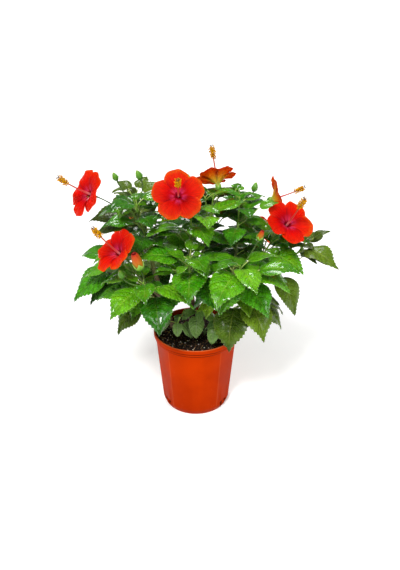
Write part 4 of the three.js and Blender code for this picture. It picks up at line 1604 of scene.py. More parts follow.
class Growth:
    """The plant as its rule grows it: limbs, then flowers, then leaves, each clear of what came before."""

    HANG_FROM = 430.0
    HANG_OVER = 200.0
    HANG_ANGLE = 50.0
    SIDE_FOOT = 1.9
    SIDE_REACH = 0.6
    SIDE_RISE = 0.9
    SIDE_LEAVES = 3
    FINE_TWIGS = 4
    CROWN_SIZES = (0.42, 0.34, 0.26, 0.2)
    YOUNG_SIZES = (0.66, 0.52, 0.4)
    SHIFTS = (
        (0, 0), (20, 0), (-20, 0), (0, 14), (0, -14), (38, 6), (-38, 6), (20, -16), (-20, -16),
        (60, 0), (-60, 0),
    )  # fmt: skip

    def __init__(self) -> None:
        """Grows the plant as far as its solids go."""
        self.clearance = Clearance()
        self._claim_limbs()
        self.blooms = [Bloom(spec) for spec in BLOOMS]
        self.buds = [Bud(spec) for spec in BUDS]
        self.stalks = [self._claim_flower(flower) for flower in (*self.blooms, *self.buds)]
        self.masses = [self._grow_mass(branch) for branch in (*BRANCHES, *SPROUTS)]

    def _claim_limbs(self) -> None:
        """Takes the room of stems, boughs and main twigs."""
        for name, stem in STEMS.items():
            self.clearance.claim([Probes.of_limb(stem.curve(), stem.foot_radius + 2)], "stem_" + name)
        for branch in (*BRANCHES, *SPROUTS):
            curve = branch.curve()
            bare_end = branch.bare - 0.04
            if bare_end > 0:
                bough = Probes.of_limb(curve, Limbs.BOUGH_FOOT + 2, 0.12, bare_end)
                self.clearance.claim([bough], "bough_" + branch.name)
            twig = Probes.of_limb(curve, Limbs.TWIG_FOOT + 1, max(branch.bare, 0.12))
            self.clearance.claim([twig], branch.name)

    def _claim_flower(self, flower: Bloom | Bud) -> Bend:
        """Takes the room of a bloom or a bud with its stalk, which arches from its twig to its foot.

        Args:
            flower: The bloom or bud.

        Returns:
            The stalk's line.
        """
        spec = flower.spec
        branch = next(branch for branch in BRANCHES if branch.name == spec.branch)
        root = branch.curve().at(lerp(branch.bare, 1, spec.at))
        arch = 0.45 * float(np.linalg.norm(flower.foot - root))
        stalk = Bend(root, flower.foot - flower.axis * arch, flower.foot)
        self.clearance.claim([*flower.probes(), Probes.of_limb(stalk, Room.STALK, 0.25)], spec.branch)
        return stalk

    @staticmethod
    def _is_in_pot(points: np.ndarray) -> bool:
        """Tells whether a point lies in the pot, in its mix or hardly above them.

        Args:
            points: Rows of points.

        Returns:
            True where one does.
        """
        reach = np.hypot(points[:, 0], points[:, 1])
        floor = np.where(reach > Pot.WALL_TOP_RADIUS - 8, Pot.HEIGHT + 5, Pot.SOIL + 6)
        return bool(((reach < Pot.RIM_RADIUS + 5) & (points[:, 2] < floor)).any())

    def _grow_leaf(
        self,
        root: Point,
        azimuth: float,
        share: float,
        branch: Branch,
        draws: Draws,
        length: float | None = None,
    ) -> list[Leaf]:
        """Grows the leaf at a root, or none where it would touch what has grown.

        Args:
            root: Where its stalk leaves the twig.
            azimuth: Where it would point in the open.
            share: Its age, as where it stands on its twig.
            branch: The branch that bears it.
            draws: The twig's draws.
            length: Its length, where that doesn't follow from its age.

        Returns:
            The leaf, or nothing.
        """
        size, tilt, curl, twist = draws(), draws(), draws(), draws()
        hang = min(max((self.HANG_FROM - root[2]) / self.HANG_OVER, 0.0), 1.0)
        full = branch.leaf * (0.9 + 0.5 * share - 0.95 * share * share) if length is None else length
        long = full * lerp(0.9, 1.12, size)
        stalk, half = Leaf.STALK * long, (Leaf.WIDTH - Leaf.NARROW * share) * long / 2
        rise = math.radians(42 - 20 * hang)
        pitch = math.radians(8 + 20 * share - self.HANG_ANGLE * hang + 14 * (tilt - 0.5))
        droop = math.radians(lerp(38, 58, curl))
        roll = math.radians(26 * (twist - 0.5))
        for aside, tilted in self.SHIFTS:
            direction = outwards(heading(azimuth + aside) + outwards(root) * Leaf.OUTWARD)
            turn = math.radians(tilted)
            base = root + direction * (stalk * math.cos(rise + turn)) + UP * (stalk * math.sin(rise + turn))
            leaf = Leaf(root, base, direction, pitch + turn, droop, roll, long, half, share)
            probes = leaf.probes()
            if any(self._is_in_pot(group.points) for group in probes):
                continue
            if self.clearance.are_clear(probes, branch.name):
                self.clearance.claim(probes, branch.name)
                return [leaf]
        return []

    def _leaves_along(
        self,
        curve: Bend,
        start: float,
        count: int,
        turn: float,
        age: Callable[[float], float],
        branch: Branch,
        draws: Draws,
    ) -> list[Leaf]:
        """Grows leaves in a spiral along a curve.

        Args:
            curve: The twig's line.
            start: Share of it where the leaves begin.
            count: How many there are.
            turn: Azimuth of the first.
            age: Gives a leaf's age from its place among them.
            branch: The branch that bears them.
            draws: The twig's draws.

        Returns:
            The leaves that found room.
        """
        grown: list[Leaf] = []
        for index in range(count):
            share = (index + 0.6) / count
            root = curve.at(lerp(start, 1, share))
            grown += self._grow_leaf(root, turn + GOLDEN_ANGLE * index, age(share), branch, draws)
        return grown

    def _side_twig(self, curve: Bend, branch: Branch, index: int, draws: Draws) -> Bend:
        """Works out the line of a side twig.

        Args:
            curve: The main twig's line.
            branch: The branch that bears it.
            index: Which of the side twigs it is.
            draws: The side twig's draws.

        Returns:
            The line.
        """
        at, turn, reach = draws(), draws(), draws()
        root = curve.at(lerp(branch.bare, 1, 0.25 + 0.5 * (index + at) / branch.twigs))
        azimuth = branch.turn + 80 + 190 * index + 60 * turn
        way = unit(heading(azimuth) + outwards(root) * self.SIDE_REACH + UP * self.SIDE_RISE)
        return Bend.sprung(root, way, branch.leaf * lerp(0.55, 0.9, reach), 0.12)

    def _grow_mass(self, branch: Branch) -> Mass:
        """Grows the mass of a branch: leaves along its twig, and side twigs with leaves of their own.

        Args:
            branch: The branch.

        Returns:
            The mass.
        """
        draws = Draws(branch.seed)
        mass = Mass(branch, branch.curve())
        mass.leaves += self._leaves_along(
            mass.curve, branch.bare, branch.leaves, branch.turn, lambda share: share, branch, draws
        )
        for index in range(branch.twigs):
            own = Draws(branch.seed * 100 + index)
            side = self._side_twig(mass.curve, branch, index, own)
            probes = [Probes.of_limb(side, self.SIDE_FOOT + 2, 0.3)]
            if self.clearance.are_clear(probes, branch.name):
                self.clearance.claim(probes, branch.name)
                mass.sides.append(side)
                turn = branch.turn + 40 + 75 * index
                mass.leaves += self._leaves_along(
                    side, 0.2, self.SIDE_LEAVES, turn, lambda share: 0.35 + 0.55 * share, branch, own
                )
        return mass

    def grow_finer(self) -> None:
        """Carries every mass on to finer twigs and young leaves, within the room that is left."""
        for mass in self.masses:
            draws = Draws(mass.branch.seed * 1000 + 7)
            for tip in (mass.curve, *mass.sides):
                self._crown_tip(mass, tip, draws)
            for index in range(1 if mass.branch.is_sprout else self.FINE_TWIGS):
                self._finer_twig(mass, index, draws)

    def _crown_tip(self, mass: Mass, tip: Bend, draws: Draws) -> None:
        """Grows the small young leaves round a twig's tip.

        Args:
            mass: The mass that bears them.
            tip: The twig's line.
            draws: The mass's draws.
        """
        turn = draws.between(0, 360)
        for index, size in enumerate(self.CROWN_SIZES):
            root, azimuth = tip.at(0.93 + 0.02 * index), turn + GOLDEN_ANGLE * index
            length = mass.branch.leaf * size
            mass.young_leaves += self._grow_leaf(root, azimuth, 1.0, mass.branch, draws, length)

    def _finer_twig(self, mass: Mass, index: int, draws: Draws) -> None:
        """Grows a finer twig from a mass's main twig, with three leaves.

        Args:
            mass: The mass that bears it.
            index: Which of the finer twigs it is.
            draws: The mass's draws.
        """
        branch = mass.branch
        at, aside, reach = draws(), draws(), draws()
        root = mass.curve.at(lerp(max(branch.bare - 0.15, 0.1), 0.9, (index + at) / self.FINE_TWIGS))
        azimuth = branch.turn + 145 + 95 * index + 60 * aside
        way = unit(heading(azimuth) + outwards(root) * 0.4 + UP * 0.7)
        twig = Bend.sprung(root, way, lerp(24, 52, reach), 0.15)
        probes = [Probes.of_limb(twig, 2.6, 0.3)]
        if not self.clearance.are_clear(probes, branch.name):
            return
        grown: list[Leaf] = []
        for place_on_twig, size in enumerate(self.YOUNG_SIZES):
            leaf_root = twig.at(0.4 + 0.28 * place_on_twig)
            turn = azimuth + 60 + GOLDEN_ANGLE * place_on_twig
            age = 0.75 + 0.1 * place_on_twig
            grown += self._grow_leaf(leaf_root, turn, age, branch, draws, branch.leaf * size)
        if grown:
            self.clearance.claim(probes, branch.name)
            mass.young_leaves += grown
            mass.fine_twigs.append(twig)


# ---- Pot and potting mix ----


def spun(outline: Sequence[tuple[float, float]], segments: int, start: float = 0.0) -> bmesh.types.BMesh:
    """Turns a closed smooth shape from an outline.

    Args:
        outline: Radii and heights in millimetres, from one point on the axis to another.
        segments: Faces round the shape.
        start: Azimuth of its first edge.

    Returns:
        The turned shape, in metres.
    """
    bm = bmesh.new()
    vertices = [bm.verts.new((radius * MM, 0, height * MM)) for radius, height in outline]
    edges = [bm.edges.new(pair) for pair in zip(vertices, vertices[1:])]
    turn = Matrix.Rotation(math.radians(start), 3, "Z")
    bmesh.ops.rotate(bm, verts=bm.verts, matrix=turn)
    geom = vertices + edges
    bmesh.ops.spin(bm, geom=geom, axis=(0, 0, 1), angle=math.tau, steps=segments, use_merge=True)
    bmesh.ops.remove_doubles(bm, verts=bm.verts, dist=1e-6)
    bmesh.ops.recalc_face_normals(bm, faces=bm.faces[:])
    for face in bm.faces:
        face.smooth = True
    return bm


@dataclass
class Pot:
    """The nursery pot: a tapered wall, a flat over each pair of slots, and a double band round its mouth."""

    foot_radius: float = 75.0
    heel_radius: float = 81.5
    heel_height: float = 14.0
    wall: float = 2.4
    rim_band: float = 11.0
    collar_band: float = 7.0
    flat_half: float = 20.0
    flat_depth: float = 4.0
    segments: int = 144
    slot_azimuths: tuple[float, ...] = (-152, -32, 88)
    slot_width: float = 11.0
    slot_height: float = 15.0
    slot_spacing: float = 17.0
    slot_sill: float = 2.6
    slot_depth: float = 24.0
    slot_corner: float = 1.6
    sharp_from: float = 38.0

    HEIGHT = 200.0
    RIM_RADIUS = 101.5
    WALL_TOP_RADIUS = 96.5
    SOIL = 187.0

    @property
    def collar_top(self) -> float:
        """Height of the groove between the rim and the collar."""
        return self.HEIGHT - self.rim_band

    @property
    def collar_foot(self) -> float:
        """Height of the groove between the collar and the wall."""
        return self.collar_top - self.collar_band

    def outline(self) -> list[tuple[float, float]]:
        """Draws the pot's outline, with rounded corners, from its underside round its mouth to its floor.

        Returns:
            Radii and heights.
        """
        height, foot, heel, low = self.HEIGHT, self.foot_radius, self.heel_radius, self.heel_height
        rim, top, wall = self.RIM_RADIUS, self.WALL_TOP_RADIUS, self.wall
        collar_top, collar_foot = self.collar_top, self.collar_foot
        slope = (top - heel) / (collar_foot - 1 - low)
        return [
            (0, 0.6), (60, 0.6), (66, 0.2), (68, 0), (foot - 1, 0), (foot + 0.4, 0.5), (foot + 1.6, 2.0),
            (heel - 1.0, low - 2), (heel, low), (heel + 3 * slope, low + 3),
            (lerp(heel, top, 0.35), lerp(low, collar_foot - 1, 0.35)),
            (lerp(heel, top, 0.7), lerp(low, collar_foot - 1, 0.7)),
            (top - 4 * slope, collar_foot - 5), (top - slope, collar_foot - 2),
            (top + 0.2, collar_foot - 0.9),
            (rim - 3.2, collar_foot - 0.1), (rim - 2.6, collar_foot + 0.6), (rim - 2.5, collar_foot + 2),
            (rim - 2.5, collar_top - 1.9), (rim - 2.8, collar_top - 1.0), (rim - 1.2, collar_top - 0.2),
            (rim - 0.4, collar_top + 0.2), (rim, collar_top + 1.0), (rim, height - 2.2),
            (rim - 0.3, height - 1.0), (rim - 1.1, height - 0.2), (rim - 2.0, height),
            (rim - 2.9, height - 0.2), (rim - 3.5, height - 1.0), (rim - 3.7, height - 2.4),
            (top - wall + 0.6, collar_foot + 2), (top - wall, collar_foot - 1),
            (heel - wall, low + 1), (foot - wall / 2, wall), (0, wall),
        ]  # fmt: skip

    def flatten(self, vertex: bmesh.types.BMVert, fade: float = 1.0) -> None:
        """Pulls a vertex in towards the middle of its flat.

        Args:
            vertex: A vertex of the wall, or of what lies against it.
            fade: How much of the pull it gets.
        """
        turn = math.degrees(math.atan2(vertex.co.y, vertex.co.x))
        away = min(abs((turn - azimuth + 540) % 360 - 180) for azimuth in self.slot_azimuths)
        pull = self.flat_depth * MM * fade * max(0.0, 1 - (away / self.flat_half) ** 2)
        share = 1 - pull / vertex.co.xy.length
        vertex.co.x *= share
        vertex.co.y *= share

    def _press_flats(self, bm: bmesh.types.BMesh) -> None:
        """Presses the flats into the wall. Rim, collar and foot stay round.

        Args:
            bm: The pot's shape.
        """
        low, high = self.heel_height - 1, self.collar_foot - 1.0
        for vertex in bm.verts:
            height = vertex.co.z / MM
            if low <= height <= high and vertex.co.xy.length > (self.heel_radius - 4) * MM:
                self.flatten(vertex, min(1.0, (height - low) / 4, (high + 1.5 - height) / 3))

    def _cutter(self) -> bpy.types.Object:
        """Makes the shapes of all slots, with rounded ends.

        Returns:
            One loose object.
        """
        bm = bmesh.new()
        size = Vector((self.slot_depth, self.slot_width, self.slot_height)) * MM
        for azimuth in self.slot_azimuths:
            turn = Matrix.Rotation(math.radians(azimuth), 3, "Z")
            for side in (-0.5, 0.5):
                made = bmesh.ops.create_cube(bm, size=1)["verts"]
                bmesh.ops.scale(bm, vec=size, verts=made)
                spot = (self.foot_radius + 2, side * self.slot_spacing, self.slot_sill + self.slot_height / 2)
                bmesh.ops.translate(bm, vec=Vector(spot) * MM, verts=made)
                bmesh.ops.rotate(bm, verts=made, matrix=turn)
        long_edges = [edge for edge in bm.edges if edge.calc_length() > 0.9 * size.x]
        bevel_edges(bm, long_edges, self.slot_corner * MM, 3)
        return linked("slot_shapes", shaped("slot_shapes", bm))

    def build(self) -> None:
        """Makes the pot and cuts its slots."""
        bm = spun(self.outline(), self.segments, self.slot_azimuths[0])
        self._press_flats(bm)
        pot = Gathering(bm).finish("nursery_pot", [POT_FINISH], "pot_plastic", ["pot"])
        cutter = self._cutter()
        cut = pot.modifiers.new("slots", "BOOLEAN")
        cut.operation, cut.object, cut.solver = "DIFFERENCE", cutter, "EXACT"
        whole = pot.evaluated_get(bpy.context.evaluated_depsgraph_get())
        slotted = bpy.data.meshes.new_from_object(whole)
        pot.modifiers.clear()
        slotted.name = "nursery_pot_cut"
        pot.data = slotted
        bpy.data.objects.remove(cutter)
        slotted.set_sharp_from_angle(angle=math.radians(self.sharp_from))


@dataclass
class PottingMix:
    """The mix in the pot: a lumpy top, with bark chips, pale grains and fibres lying on it."""

    foot_radius: float = 70.0
    top_radius: float = 70.0
    shoulder: float = 5.0
    clearance: float = 4.5
    pressed_from: float = 74.0
    segments: int = 144
    rings: int = 30
    lump: float = 2.6
    lump_size: float = 9.0
    strewn_radius: float = 88.0

    def _edge_radius(self, height: float) -> float:
        """Works out the mix's radius at a height, clear of the pot's wall.

        Args:
            height: The height in millimetres.

        Returns:
            The radius.
        """
        pot = Pot()
        share = (height - pot.heel_height) / (pot.collar_foot - pot.heel_height)
        return lerp(pot.heel_radius, pot.WALL_TOP_RADIUS, share) - self.clearance

    def level(self, x: float, y: float) -> float:
        """Works out the height of the mix's top.

        Args:
            x: The place in millimetres.
            y: The same.

        Returns:
            The height in millimetres.
        """
        edge = self._edge_radius(Pot.SOIL - self.shoulder)
        fall = min(max((math.hypot(x, y) - self.top_radius) / (edge - self.top_radius), 0.0), 1.0)
        lumps = noise.fractal(Vector((x, y, 0)) / self.lump_size, 0.9, 2.1, 4) * self.lump
        return Pot.SOIL - 1.2 - self.shoulder * fall + lumps

    def _body(self) -> None:
        """Makes the mix itself, with its lumpy top."""
        edge = Pot.SOIL - self.shoulder
        rim = self._edge_radius(edge)
        outline = [(0, 3.0), (self.foot_radius, 3.0), (self._edge_radius(16), 16), (rim, edge - 4)]
        outline += [(lerp(rim, 0, ring / self.rings), edge) for ring in range(self.rings + 1)]
        bm = spun(outline, self.segments)
        for vertex in bm.verts:
            if vertex.co.z > (edge - 1) * MM:
                vertex.co.z = self.level(vertex.co.x / MM, vertex.co.y / MM) * MM
            past = vertex.co.xy.length / MM - self.pressed_from
            if past > 0:
                Pot().flatten(vertex, min(1.0, past / 3))
        Gathering(bm).finish("potting_mix_body", [MIX_FINISH], "potting_mix", ["potting_mix"])

    def build(self) -> None:
        """Makes the mix, its chips, its grains and its fibres."""
        self._body()
        self._strew("bark_chips", ChipStamp(0.45), 420, (1.2, 3.6), (0.5, 0.28), CHIP_FINISH, 11)
        self._strew("pale_grains", ChipStamp(0.6), 150, (0.7, 1.7), (0.9, 0.8), GRAIN_FINISH, 29)
        self._strew("mix_fibres", ChipStamp(0.3), 190, (2.5, 7.0), (0.1, 0.08), FIBRE_FINISH, 47)

    def _strew(
        self,
        name: str,
        stamp: ChipStamp,
        count: int,
        sizes: tuple[float, float],
        flatness: tuple[float, float],
        finish: Finish,
        seed: int,
    ) -> None:
        """Strews small shapes over the mix, as a piece.

        Args:
            name: The piece's name.
            stamp: The small shape.
            count: How many there are.
            sizes: Their least and greatest half length, in millimetres.
            flatness: Their width and thickness as shares of their length.
            finish: Their finish.
            seed: Seed of their places.
        """
        draws = Draws(seed)
        strewn = Gathering()
        for _ in range(count):
            reach = self.strewn_radius * math.sqrt(draws())
            spot = heading(draws.between(0, 360)) * reach
            half = sizes[0] * (sizes[1] / sizes[0]) ** draws()
            turn = Matrix.Rotation(draws.between(0, math.tau), 3, "Z")
            for axis in "YX":
                turn = turn @ Matrix.Rotation(draws.between(-0.5, 0.5), 3, axis)
            shape = stamp.places * (half, half * flatness[0], half * flatness[1])
            lift = self.level(spot[0], spot[1]) + half * flatness[1] * 0.45
            strewn.add(stamp, shape @ np.array(turn).T + spot + UP * lift, draws())
        strewn.finish(name, [finish], "potting_mix")


# ---- Limbs ----


def tapered(foot: float, tip: float) -> Callable[[Shares], Shares]:
    """Returns what gives the radius of a limb that tapers evenly."""
    return lambda share: lerp(foot, tip, share)


@dataclass
class Limbs:
    """Stems, boughs, twigs and leaf stalks, from the mix to the last leaf."""

    growth: Growth
    sprout_foot: float = 1.8
    twig_tip: float = 1.3
    side_tip: float = 1.1
    fine_foot: float = 1.5
    fine_tip: float = 0.8
    stalk_foot: float = 1.35
    stalk_tip: float = 1.0
    flower_stalk: float = 1.3

    BOUGH_FOOT = 4.2
    BOUGH_TIP = 3.1
    TWIG_FOOT = 2.9

    @staticmethod
    def _barked(points: np.ndarray, curve: Bend, depth: float, scale: float) -> np.ndarray:
        """Adds the relief of bark to a limb.

        Args:
            points: The limb's points.
            curve: Its line.
            depth: Depth of the relief in millimetres.
            scale: Size of its plates in millimetres.

        Returns:
            The moved points.
        """
        line = curve.at(np.linspace(0, 1, 200))
        nearest = np.linalg.norm(points[:, None] - line[None], axis=2).argmin(axis=1)
        out = points - line[nearest]
        away = out / np.maximum(np.linalg.norm(out, axis=1, keepdims=True), 1e-6)
        relief = [
            noise.fractal(Vector((x / scale, y / scale, z / (2.6 * scale))), 0.8, 2.2, 4)
            + 0.5 * noise.noise(Vector((x / 16, y / 16, z / 7)))
            for x, y, z in points
        ]
        return points + away * columns(np.array(relief) * depth)

    def _stems(self) -> None:
        """Makes the three woody stems with their root flare."""
        stamp, gathering = TubeStamp(28, 110), Gathering()
        for stem in STEMS.values():
            curve = stem.curve()
            points = self._barked(stamp.bent(curve, stem.radius), curve, 0.9, 5.0)
            foot = stamp.places[:, 2] < 0.02
            points[foot, 2] = np.minimum(points[foot, 2], Pot.SOIL - 3)
            gathering.add(stamp, points)
        gathering.finish("woody_stems", [BARK_FINISH], "bark", ["stem_" + name for name in STEMS])

    def _bough_radius(self, branch: Branch, share: Shares) -> Shares:
        """Works out a bough's radius, with a collar where it leaves its stem.

        Args:
            branch: The branch.
            share: Shares of its line.

        Returns:
            The radii.
        """
        swell = 0.6 if branch.at == 1 else 1.6
        collar = 0.9 * np.exp(-share / (0.12 * branch.bare)) * swell
        return lerp(self.BOUGH_FOOT, self.BOUGH_TIP, share / branch.bare) + collar

    def _boughs(self) -> None:
        """Makes the boughs."""
        stamp, gathering = TubeStamp(14, 40), Gathering()
        for branch in BRANCHES:
            curve = branch.curve()
            points = stamp.bent(curve, partial(self._bough_radius, branch), 0, branch.bare)
            gathering.add(stamp, self._barked(points, curve, 0.45, 4.0))
        nodes = ["bough_" + branch.name for branch in BRANCHES]
        gathering.finish("boughs", [BOUGH_FINISH], "green_bark", nodes)

    def _twig_radius(self, branch: Branch, start: float, share: Shares) -> Shares:
        """Works out a main twig's radius, with a knuckle at every leaf.

        Args:
            branch: The branch that bears it.
            start: Share of the branch's line where the twig starts.
            share: Shares of that line.

        Returns:
            The radii.
        """
        foot = self.sprout_foot if branch.is_sprout else self.BOUGH_TIP
        knuckles = [lerp(branch.bare, 1, (index + 0.6) / branch.leaves) for index in range(branch.leaves)]
        swell = sum(np.exp(-(((share - knuckle) / 0.012) ** 2)) for knuckle in knuckles)
        return lerp(foot, self.twig_tip, (share - start) / (1 - start)) * (1 + 0.28 * swell)

    def _twigs(self) -> None:
        """Makes the main, side and finer twigs."""
        main, side, fine = TubeStamp(8, 36), TubeStamp(6, 12), TubeStamp(5, 5)
        gathering = Gathering()
        for mass in self.growth.masses:
            start = max(mass.branch.bare - 0.01, 0.0)
            gathering.add(main, main.bent(mass.curve, partial(self._twig_radius, mass.branch, start), start))
            for line in mass.sides:
                gathering.add(side, side.bent(line, tapered(Growth.SIDE_FOOT, self.side_tip)))
            for line in mass.fine_twigs:
                gathering.add(fine, fine.bent(line, tapered(self.fine_foot, self.fine_tip)))
        nodes = [mass.branch.node for mass in self.growth.masses]
        gathering.finish("green_twigs", [TWIG_FINISH], "green_bark", nodes)

    def _leaf_stalks(self) -> None:
        """Makes the stalks of all leaves."""
        stamp, gathering = TubeStamp(6, 5), Gathering()
        for mass in self.growth.masses:
            for leaf in (*mass.leaves, *mass.young_leaves):
                scale = lerp(0.5, 1, min(1.0, leaf.length / 70))
                radius = tapered(self.stalk_foot * scale, self.stalk_tip * scale)
                gathering.add(stamp, stamp.bent(leaf.stalk(), radius))
        gathering.finish("leaf_stalks", [PETIOLE_FINISH], "green_bark")

    def _flower_stalk_radius(self, share: Shares) -> Shares:
        """Returns a flower stalk's radius, with its joint and its widening at the flower."""
        joint = 0.5 * np.exp(-(((share - 0.68) / 0.02) ** 2))
        return self.flower_stalk + joint + 0.9 * smooth(share, 0.88, 1)

    def _flower_stalks(self) -> None:
        """Makes the stalks of blooms and buds."""
        stamp, gathering = TubeStamp(8, 20), Gathering()
        for line in self.growth.stalks:
            gathering.add(stamp, stamp.bent(line, self._flower_stalk_radius))
        gathering.finish("flower_stalks", [STALK_FINISH], "green_bark")

    def build(self) -> None:
        """Makes all limbs."""
        self._stems()
        self._boughs()
        self._twigs()
        self._leaf_stalks()
        self._flower_stalks()


# ---- Leaves ----


@dataclass
class Foliage:
    """The leaves, one piece for each tone."""

    growth: Growth
    rows: int = 26
    across: int = 8
    small_rows: int = 14
    small_across: int = 6
    small_length: float = 46.0

    def build(self) -> None:
        """Makes the leaves and deals them to pieces by their tone."""
        large = SheetStamp(self.rows, self.across, True)
        small = SheetStamp(self.small_rows, self.small_across, True)
        gatherings = {tone: Gathering() for tone in Tone}
        nodes: dict[Tone, set[str]] = {tone: set() for tone in Tone}
        for number, mass in enumerate(self.growth.masses):
            draws = Draws(5000 + number)
            for leaf in (*mass.leaves, *mass.young_leaves):
                tone = mass.branch.tone.aged(leaf.share, float(leaf.axes(np.ones(1))[0][0, 2]))
                is_small = leaf.length < self.small_length
                stamp, rows = (small, self.small_rows) if is_small else (large, self.rows)
                gatherings[tone].add(stamp, leaf.dressed(stamp, rows, draws, mass.branch.is_sprout), draws())
                nodes[tone].add(mass.branch.node)
        for tone, gathering in gatherings.items():
            finishes = [LEAF_TOPS[tone], LEAF_UNDERS[tone]]
            gathering.finish("leaves_" + tone.name.lower(), finishes, "foliage", nodes[tone])


# ---- Blooms and buds ----


@dataclass
class Flowers:
    """The blooms and the buds, each kind of part in a piece of its own."""

    growth: Growth
    stamens: int = 110
    bracts: int = 7
    filament: float = 0.3
    style: float = 0.35

    def _petals(self) -> None:
        """Makes the petals."""
        stamp, gathering = SheetStamp(20, 22, False), Gathering()
        for number, bloom in enumerate(self.growth.blooms):
            draws = Draws(900 + number)
            for index in range(Bloom.PETALS):
                gathering.add(stamp, bloom.petal(stamp, index, draws), draws())
        gathering.finish("petals", [PETAL_INSIDE, PETAL_OUTSIDE], "foliage")

    def _columns(self) -> None:
        """Makes the columns, with their filaments, anthers and stigmas."""
        rod, hair, bead = TubeStamp(10, 18), TubeStamp(3, 2), BeadStamp()
        column, filaments, anthers, stigmas = Gathering(), Gathering(), Gathering(), Gathering()
        for number, bloom in enumerate(self.growth.blooms):
            draws = Draws(1300 + number)
            line, size = bloom.column(), bloom.spec.size
            column.add(rod, rod.bent(line, partial(self._column_radius, size), 0.08, 0.985))
            for index in range(self.stamens):
                share = 0.7 + 0.27 * (index / self.stamens) ** 0.8
                out = line.out(share, math.radians(GOLDEN_ANGLE * index + draws.between(-20, 20)))
                root, way = line.at(share), unit(out + line.tangent(share) * draws.between(0.1, 0.7))
                tip = root + way * (size * draws.between(3.4, 7.4))
                curve = Bend(root, root + out * 2.0, tip)
                filaments.add(hair, hair.bent(curve, tapered(self.filament, self.filament)), draws())
                half = size * draws.between(1.25, 1.85)
                anthers.add(bead, tip + bead.places * (half, half, half * 0.75), draws())
            for index in range(Bloom.PETALS):
                root, tangent = line.at(0.98), line.tangent(1.0)
                out = line.out(1.0, math.radians(360 / Bloom.PETALS * index + 20))
                tip = root + tangent * (size * 5.0) + out * (size * 3.4)
                curve = Bend(root, root + tangent * 3.2, tip)
                stigmas.add(hair, hair.bent(curve, tapered(self.style, self.style)), 0.8)
                stigmas.add(bead, tip + bead.places * (size * 1.15), 0.2)
        column.finish("flower_columns", [COLUMN_FINISH], "foliage")
        filaments.finish("filaments", [FILAMENT_FINISH], "foliage")
        anthers.finish("anthers", [ANTHER_FINISH], "foliage")
        stigmas.finish("stigmas", [STIGMA_FINISH], "foliage")

    @staticmethod
    def _column_radius(size: float, share: Shares) -> Shares:
        """Returns a column's radius, for a bloom's size, at shares of its length."""
        return size * (2.4 - 0.9 * smooth(share, 0.05, 0.6))

    @staticmethod
    def _calyx_cup(stamp: TubeStamp, flower: Bloom | Bud, height: float, radius: float) -> np.ndarray:
        """Bends a cup to a calyx with five pointed lobes.

        Args:
            stamp: The cup.
            flower: The bloom or bud that it holds.
            height: Length up to the lobes' tips.
            radius: Radius half way up.

        Returns:
            Rows of points in millimetres.
        """
        x, y, z = stamp.places.T
        angle = np.arctan2(y, x)
        lobe = 1 - np.abs(2 * ((angle / math.tau * Bloom.PETALS) % 1.0) - 1)
        tall = height * z * (0.5 + 0.5 * lobe**0.9)
        cup = lerp(1.4, radius, np.sin(np.pi / 2 * np.minimum(2.2 * tall / height, 1.0)))
        wide = np.maximum(cup, flower.funnel(tall) + 1.2)
        inset = (1 - np.hypot(x, y)) * 8.0
        return flower.at(wide - inset, angle, tall)

    def _bracts(
        self, gathering: Gathering, stamp: SheetStamp, flower: Bloom | Bud, length: float, draws: Draws
    ) -> None:
        """Adds the ring of narrow bracts below a calyx.

        Args:
            gathering: The piece to add them to.
            stamp: The sheet to bend.
            flower: The bloom or bud that they stand round.
            length: Their length.
            draws: The flower's draws.
        """
        along, aside, below = stamp.places.T
        pitch, droop = math.radians(38), math.radians(-25)
        for index in range(self.bracts):
            out = flower.out(math.tau * (index + 0.2 * draws()) / self.bracts)
            base = flower.foot + flower.axis * 0.6 + out * 1.3
            long = length * draws.between(0.85, 1.1)
            bract = Leaf(base, base, out, pitch, droop, 0.0, long, 0.09 * long, 1.0, flower.axis)
            midrib, across, above = bract.axes(along)
            half = bract.half * np.sin(np.pi * (0.12 + 0.88 * along) ** 0.8) + 0.3 * (1 - along)
            points = midrib + across * columns(aside * half) + above * columns(0.4 * below)
            gathering.add(stamp, points, draws())

    def _calyxes(self) -> None:
        """Makes the calyxes and bracts of blooms and buds."""
        cup, bract = TubeStamp(40, 8, wall=0.1), SheetStamp(5, 2, True)
        gathering = Gathering()
        for number, flower in enumerate((*self.growth.blooms, *self.growth.buds)):
            if isinstance(flower, Bloom):
                size = flower.spec.size
                gathering.add(cup, self._calyx_cup(cup, flower, 17 * size, 6.4 * size), 0.4)
                length = 13 * size
            elif flower.spec.ripe:
                long = flower.spec.length
                gathering.add(cup, self._calyx_cup(cup, flower, 0.5 * long, 0.9 * flower.radius), 0.6)
                length = 0.34 * long
            else:
                length = 0.55 * flower.spec.length
            self._bracts(gathering, bract, flower, length, Draws(1700 + number))
        gathering.finish("calyxes", [CALYX_FINISH, CALYX_FINISH], "foliage")

    def _buds(self) -> None:
        """Makes the ripe and the green buds."""
        ball, ripe, green = BallStamp(40, 22), Gathering(), Gathering()
        for bud in self.growth.buds:
            (ripe if bud.spec.ripe else green).add(ball, ball.turned(bud, bud.outline))
        ripe.finish("ripe_buds", [RIPE_BUD_FINISH], "foliage")
        green.finish("green_buds", [GREEN_BUD_FINISH], "foliage")

    def build(self) -> None:
        """Makes all parts of the flowers."""
        self._petals()
        self._columns()
        self._calyxes()
        self._buds()


# ---- The studio ----


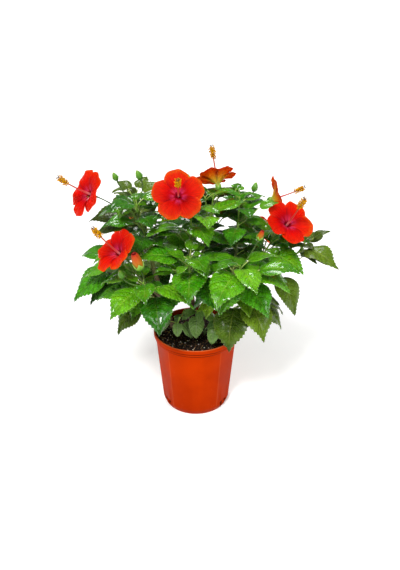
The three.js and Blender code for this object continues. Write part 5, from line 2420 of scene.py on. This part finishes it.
@dataclass
class Studio:
    """A plain pale floor, soft lamps, and the camera a little above the plant."""

    eye: tuple[float, float, float] = (0.010, -1.478, 1.114)
    target: tuple[float, float, float] = (0.010, 0.0, 0.318)
    lens: float = 45.5
    sensor: float = 36.0
    floor_size: float = 60.0
    glow: float = 0.1

    def _floor(self) -> None:
        """Lays the floor."""
        bm = bmesh.new()
        bmesh.ops.create_grid(bm, x_segments=1, y_segments=1, size=self.floor_size / 2)
        floor = linked("studio_floor", shaped("studio_floor", bm))
        floor.data.materials.append(FLOOR_FINISH.material())

    @staticmethod
    def _sun(name: str, azimuth: float, elevation: float, strength: float, width: float) -> None:
        """Hangs a far lamp with a soft edge.

        Args:
            name: The lamp's name.
            azimuth: Where it stands, in degrees.
            elevation: How high it stands, in degrees.
            strength: Its strength.
            width: Its apparent width in degrees.
        """
        lamp = linked(name, bpy.data.lights.new(name, "SUN"))
        lamp.data.energy, lamp.data.angle = strength, math.radians(width)
        way = aimed(azimuth, elevation)
        lamp.location = Vector(way * 3)
        lamp.rotation_euler = Vector(-way).to_track_quat("-Z", "Y").to_euler()

    def _world(self) -> None:
        """Fills the room with soft white light, and shows plain white beyond the floor."""
        world = bpy.data.worlds.new("studio_light")
        world.use_nodes = True
        shade = world.node_tree.nodes["Background"].inputs
        tree = Tree(world.node_tree)
        tree.feed(shade["Color"], (1, 1, 1, 1))
        seen = tree.node("LightPath", {}, "Is Camera Ray")
        tree.feed(shade["Strength"], tree.math("MULTIPLY_ADD", seen, 1 - self.glow, self.glow))
        bpy.context.scene.world = world

    def build(self) -> None:
        """Sets up floor, lamps and camera."""
        self._floor()
        self._world()
        self._sun("key_lamp", -112, 52, 2.12, 14)
        self._sun("soft_lamp", -100, 60, 0.8, 40)
        self._sun("fill_lamp", -48, 42, 0.95, 24)
        self._sun("back_lamp", 100, 50, 1.4, 20)
        camera = linked("camera", bpy.data.cameras.new("camera"))
        camera.location = self.eye
        camera.rotation_euler = (Vector(self.target) - camera.location).to_track_quat("-Z", "Y").to_euler()
        camera.data.lens, camera.data.sensor_width = self.lens, self.sensor
        bpy.context.scene.camera = camera
        bpy.context.scene.view_settings.view_transform = "Standard"


def write_sizes() -> None:
    """Updates the view layer.
    """
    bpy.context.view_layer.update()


def main() -> None:
    """Builds the plant and the studio in order, and reports each piece."""
    logging.basicConfig(level=logging.INFO, format="%(name)s: %(message)s")
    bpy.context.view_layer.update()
    Pot().build()
    PottingMix().build()
    growth = Growth()
    LOG.info("leaves that the solids have: %d", sum(len(mass.leaves) for mass in growth.masses))
    growth.grow_finer()
    LOG.info("young leaves: %d", sum(len(mass.young_leaves) for mass in growth.masses))
    Limbs(growth).build()
    Foliage(growth).build()
    Flowers(growth).build()
    Studio().build()
    write_sizes()


if __name__ == "__main__":
    main()
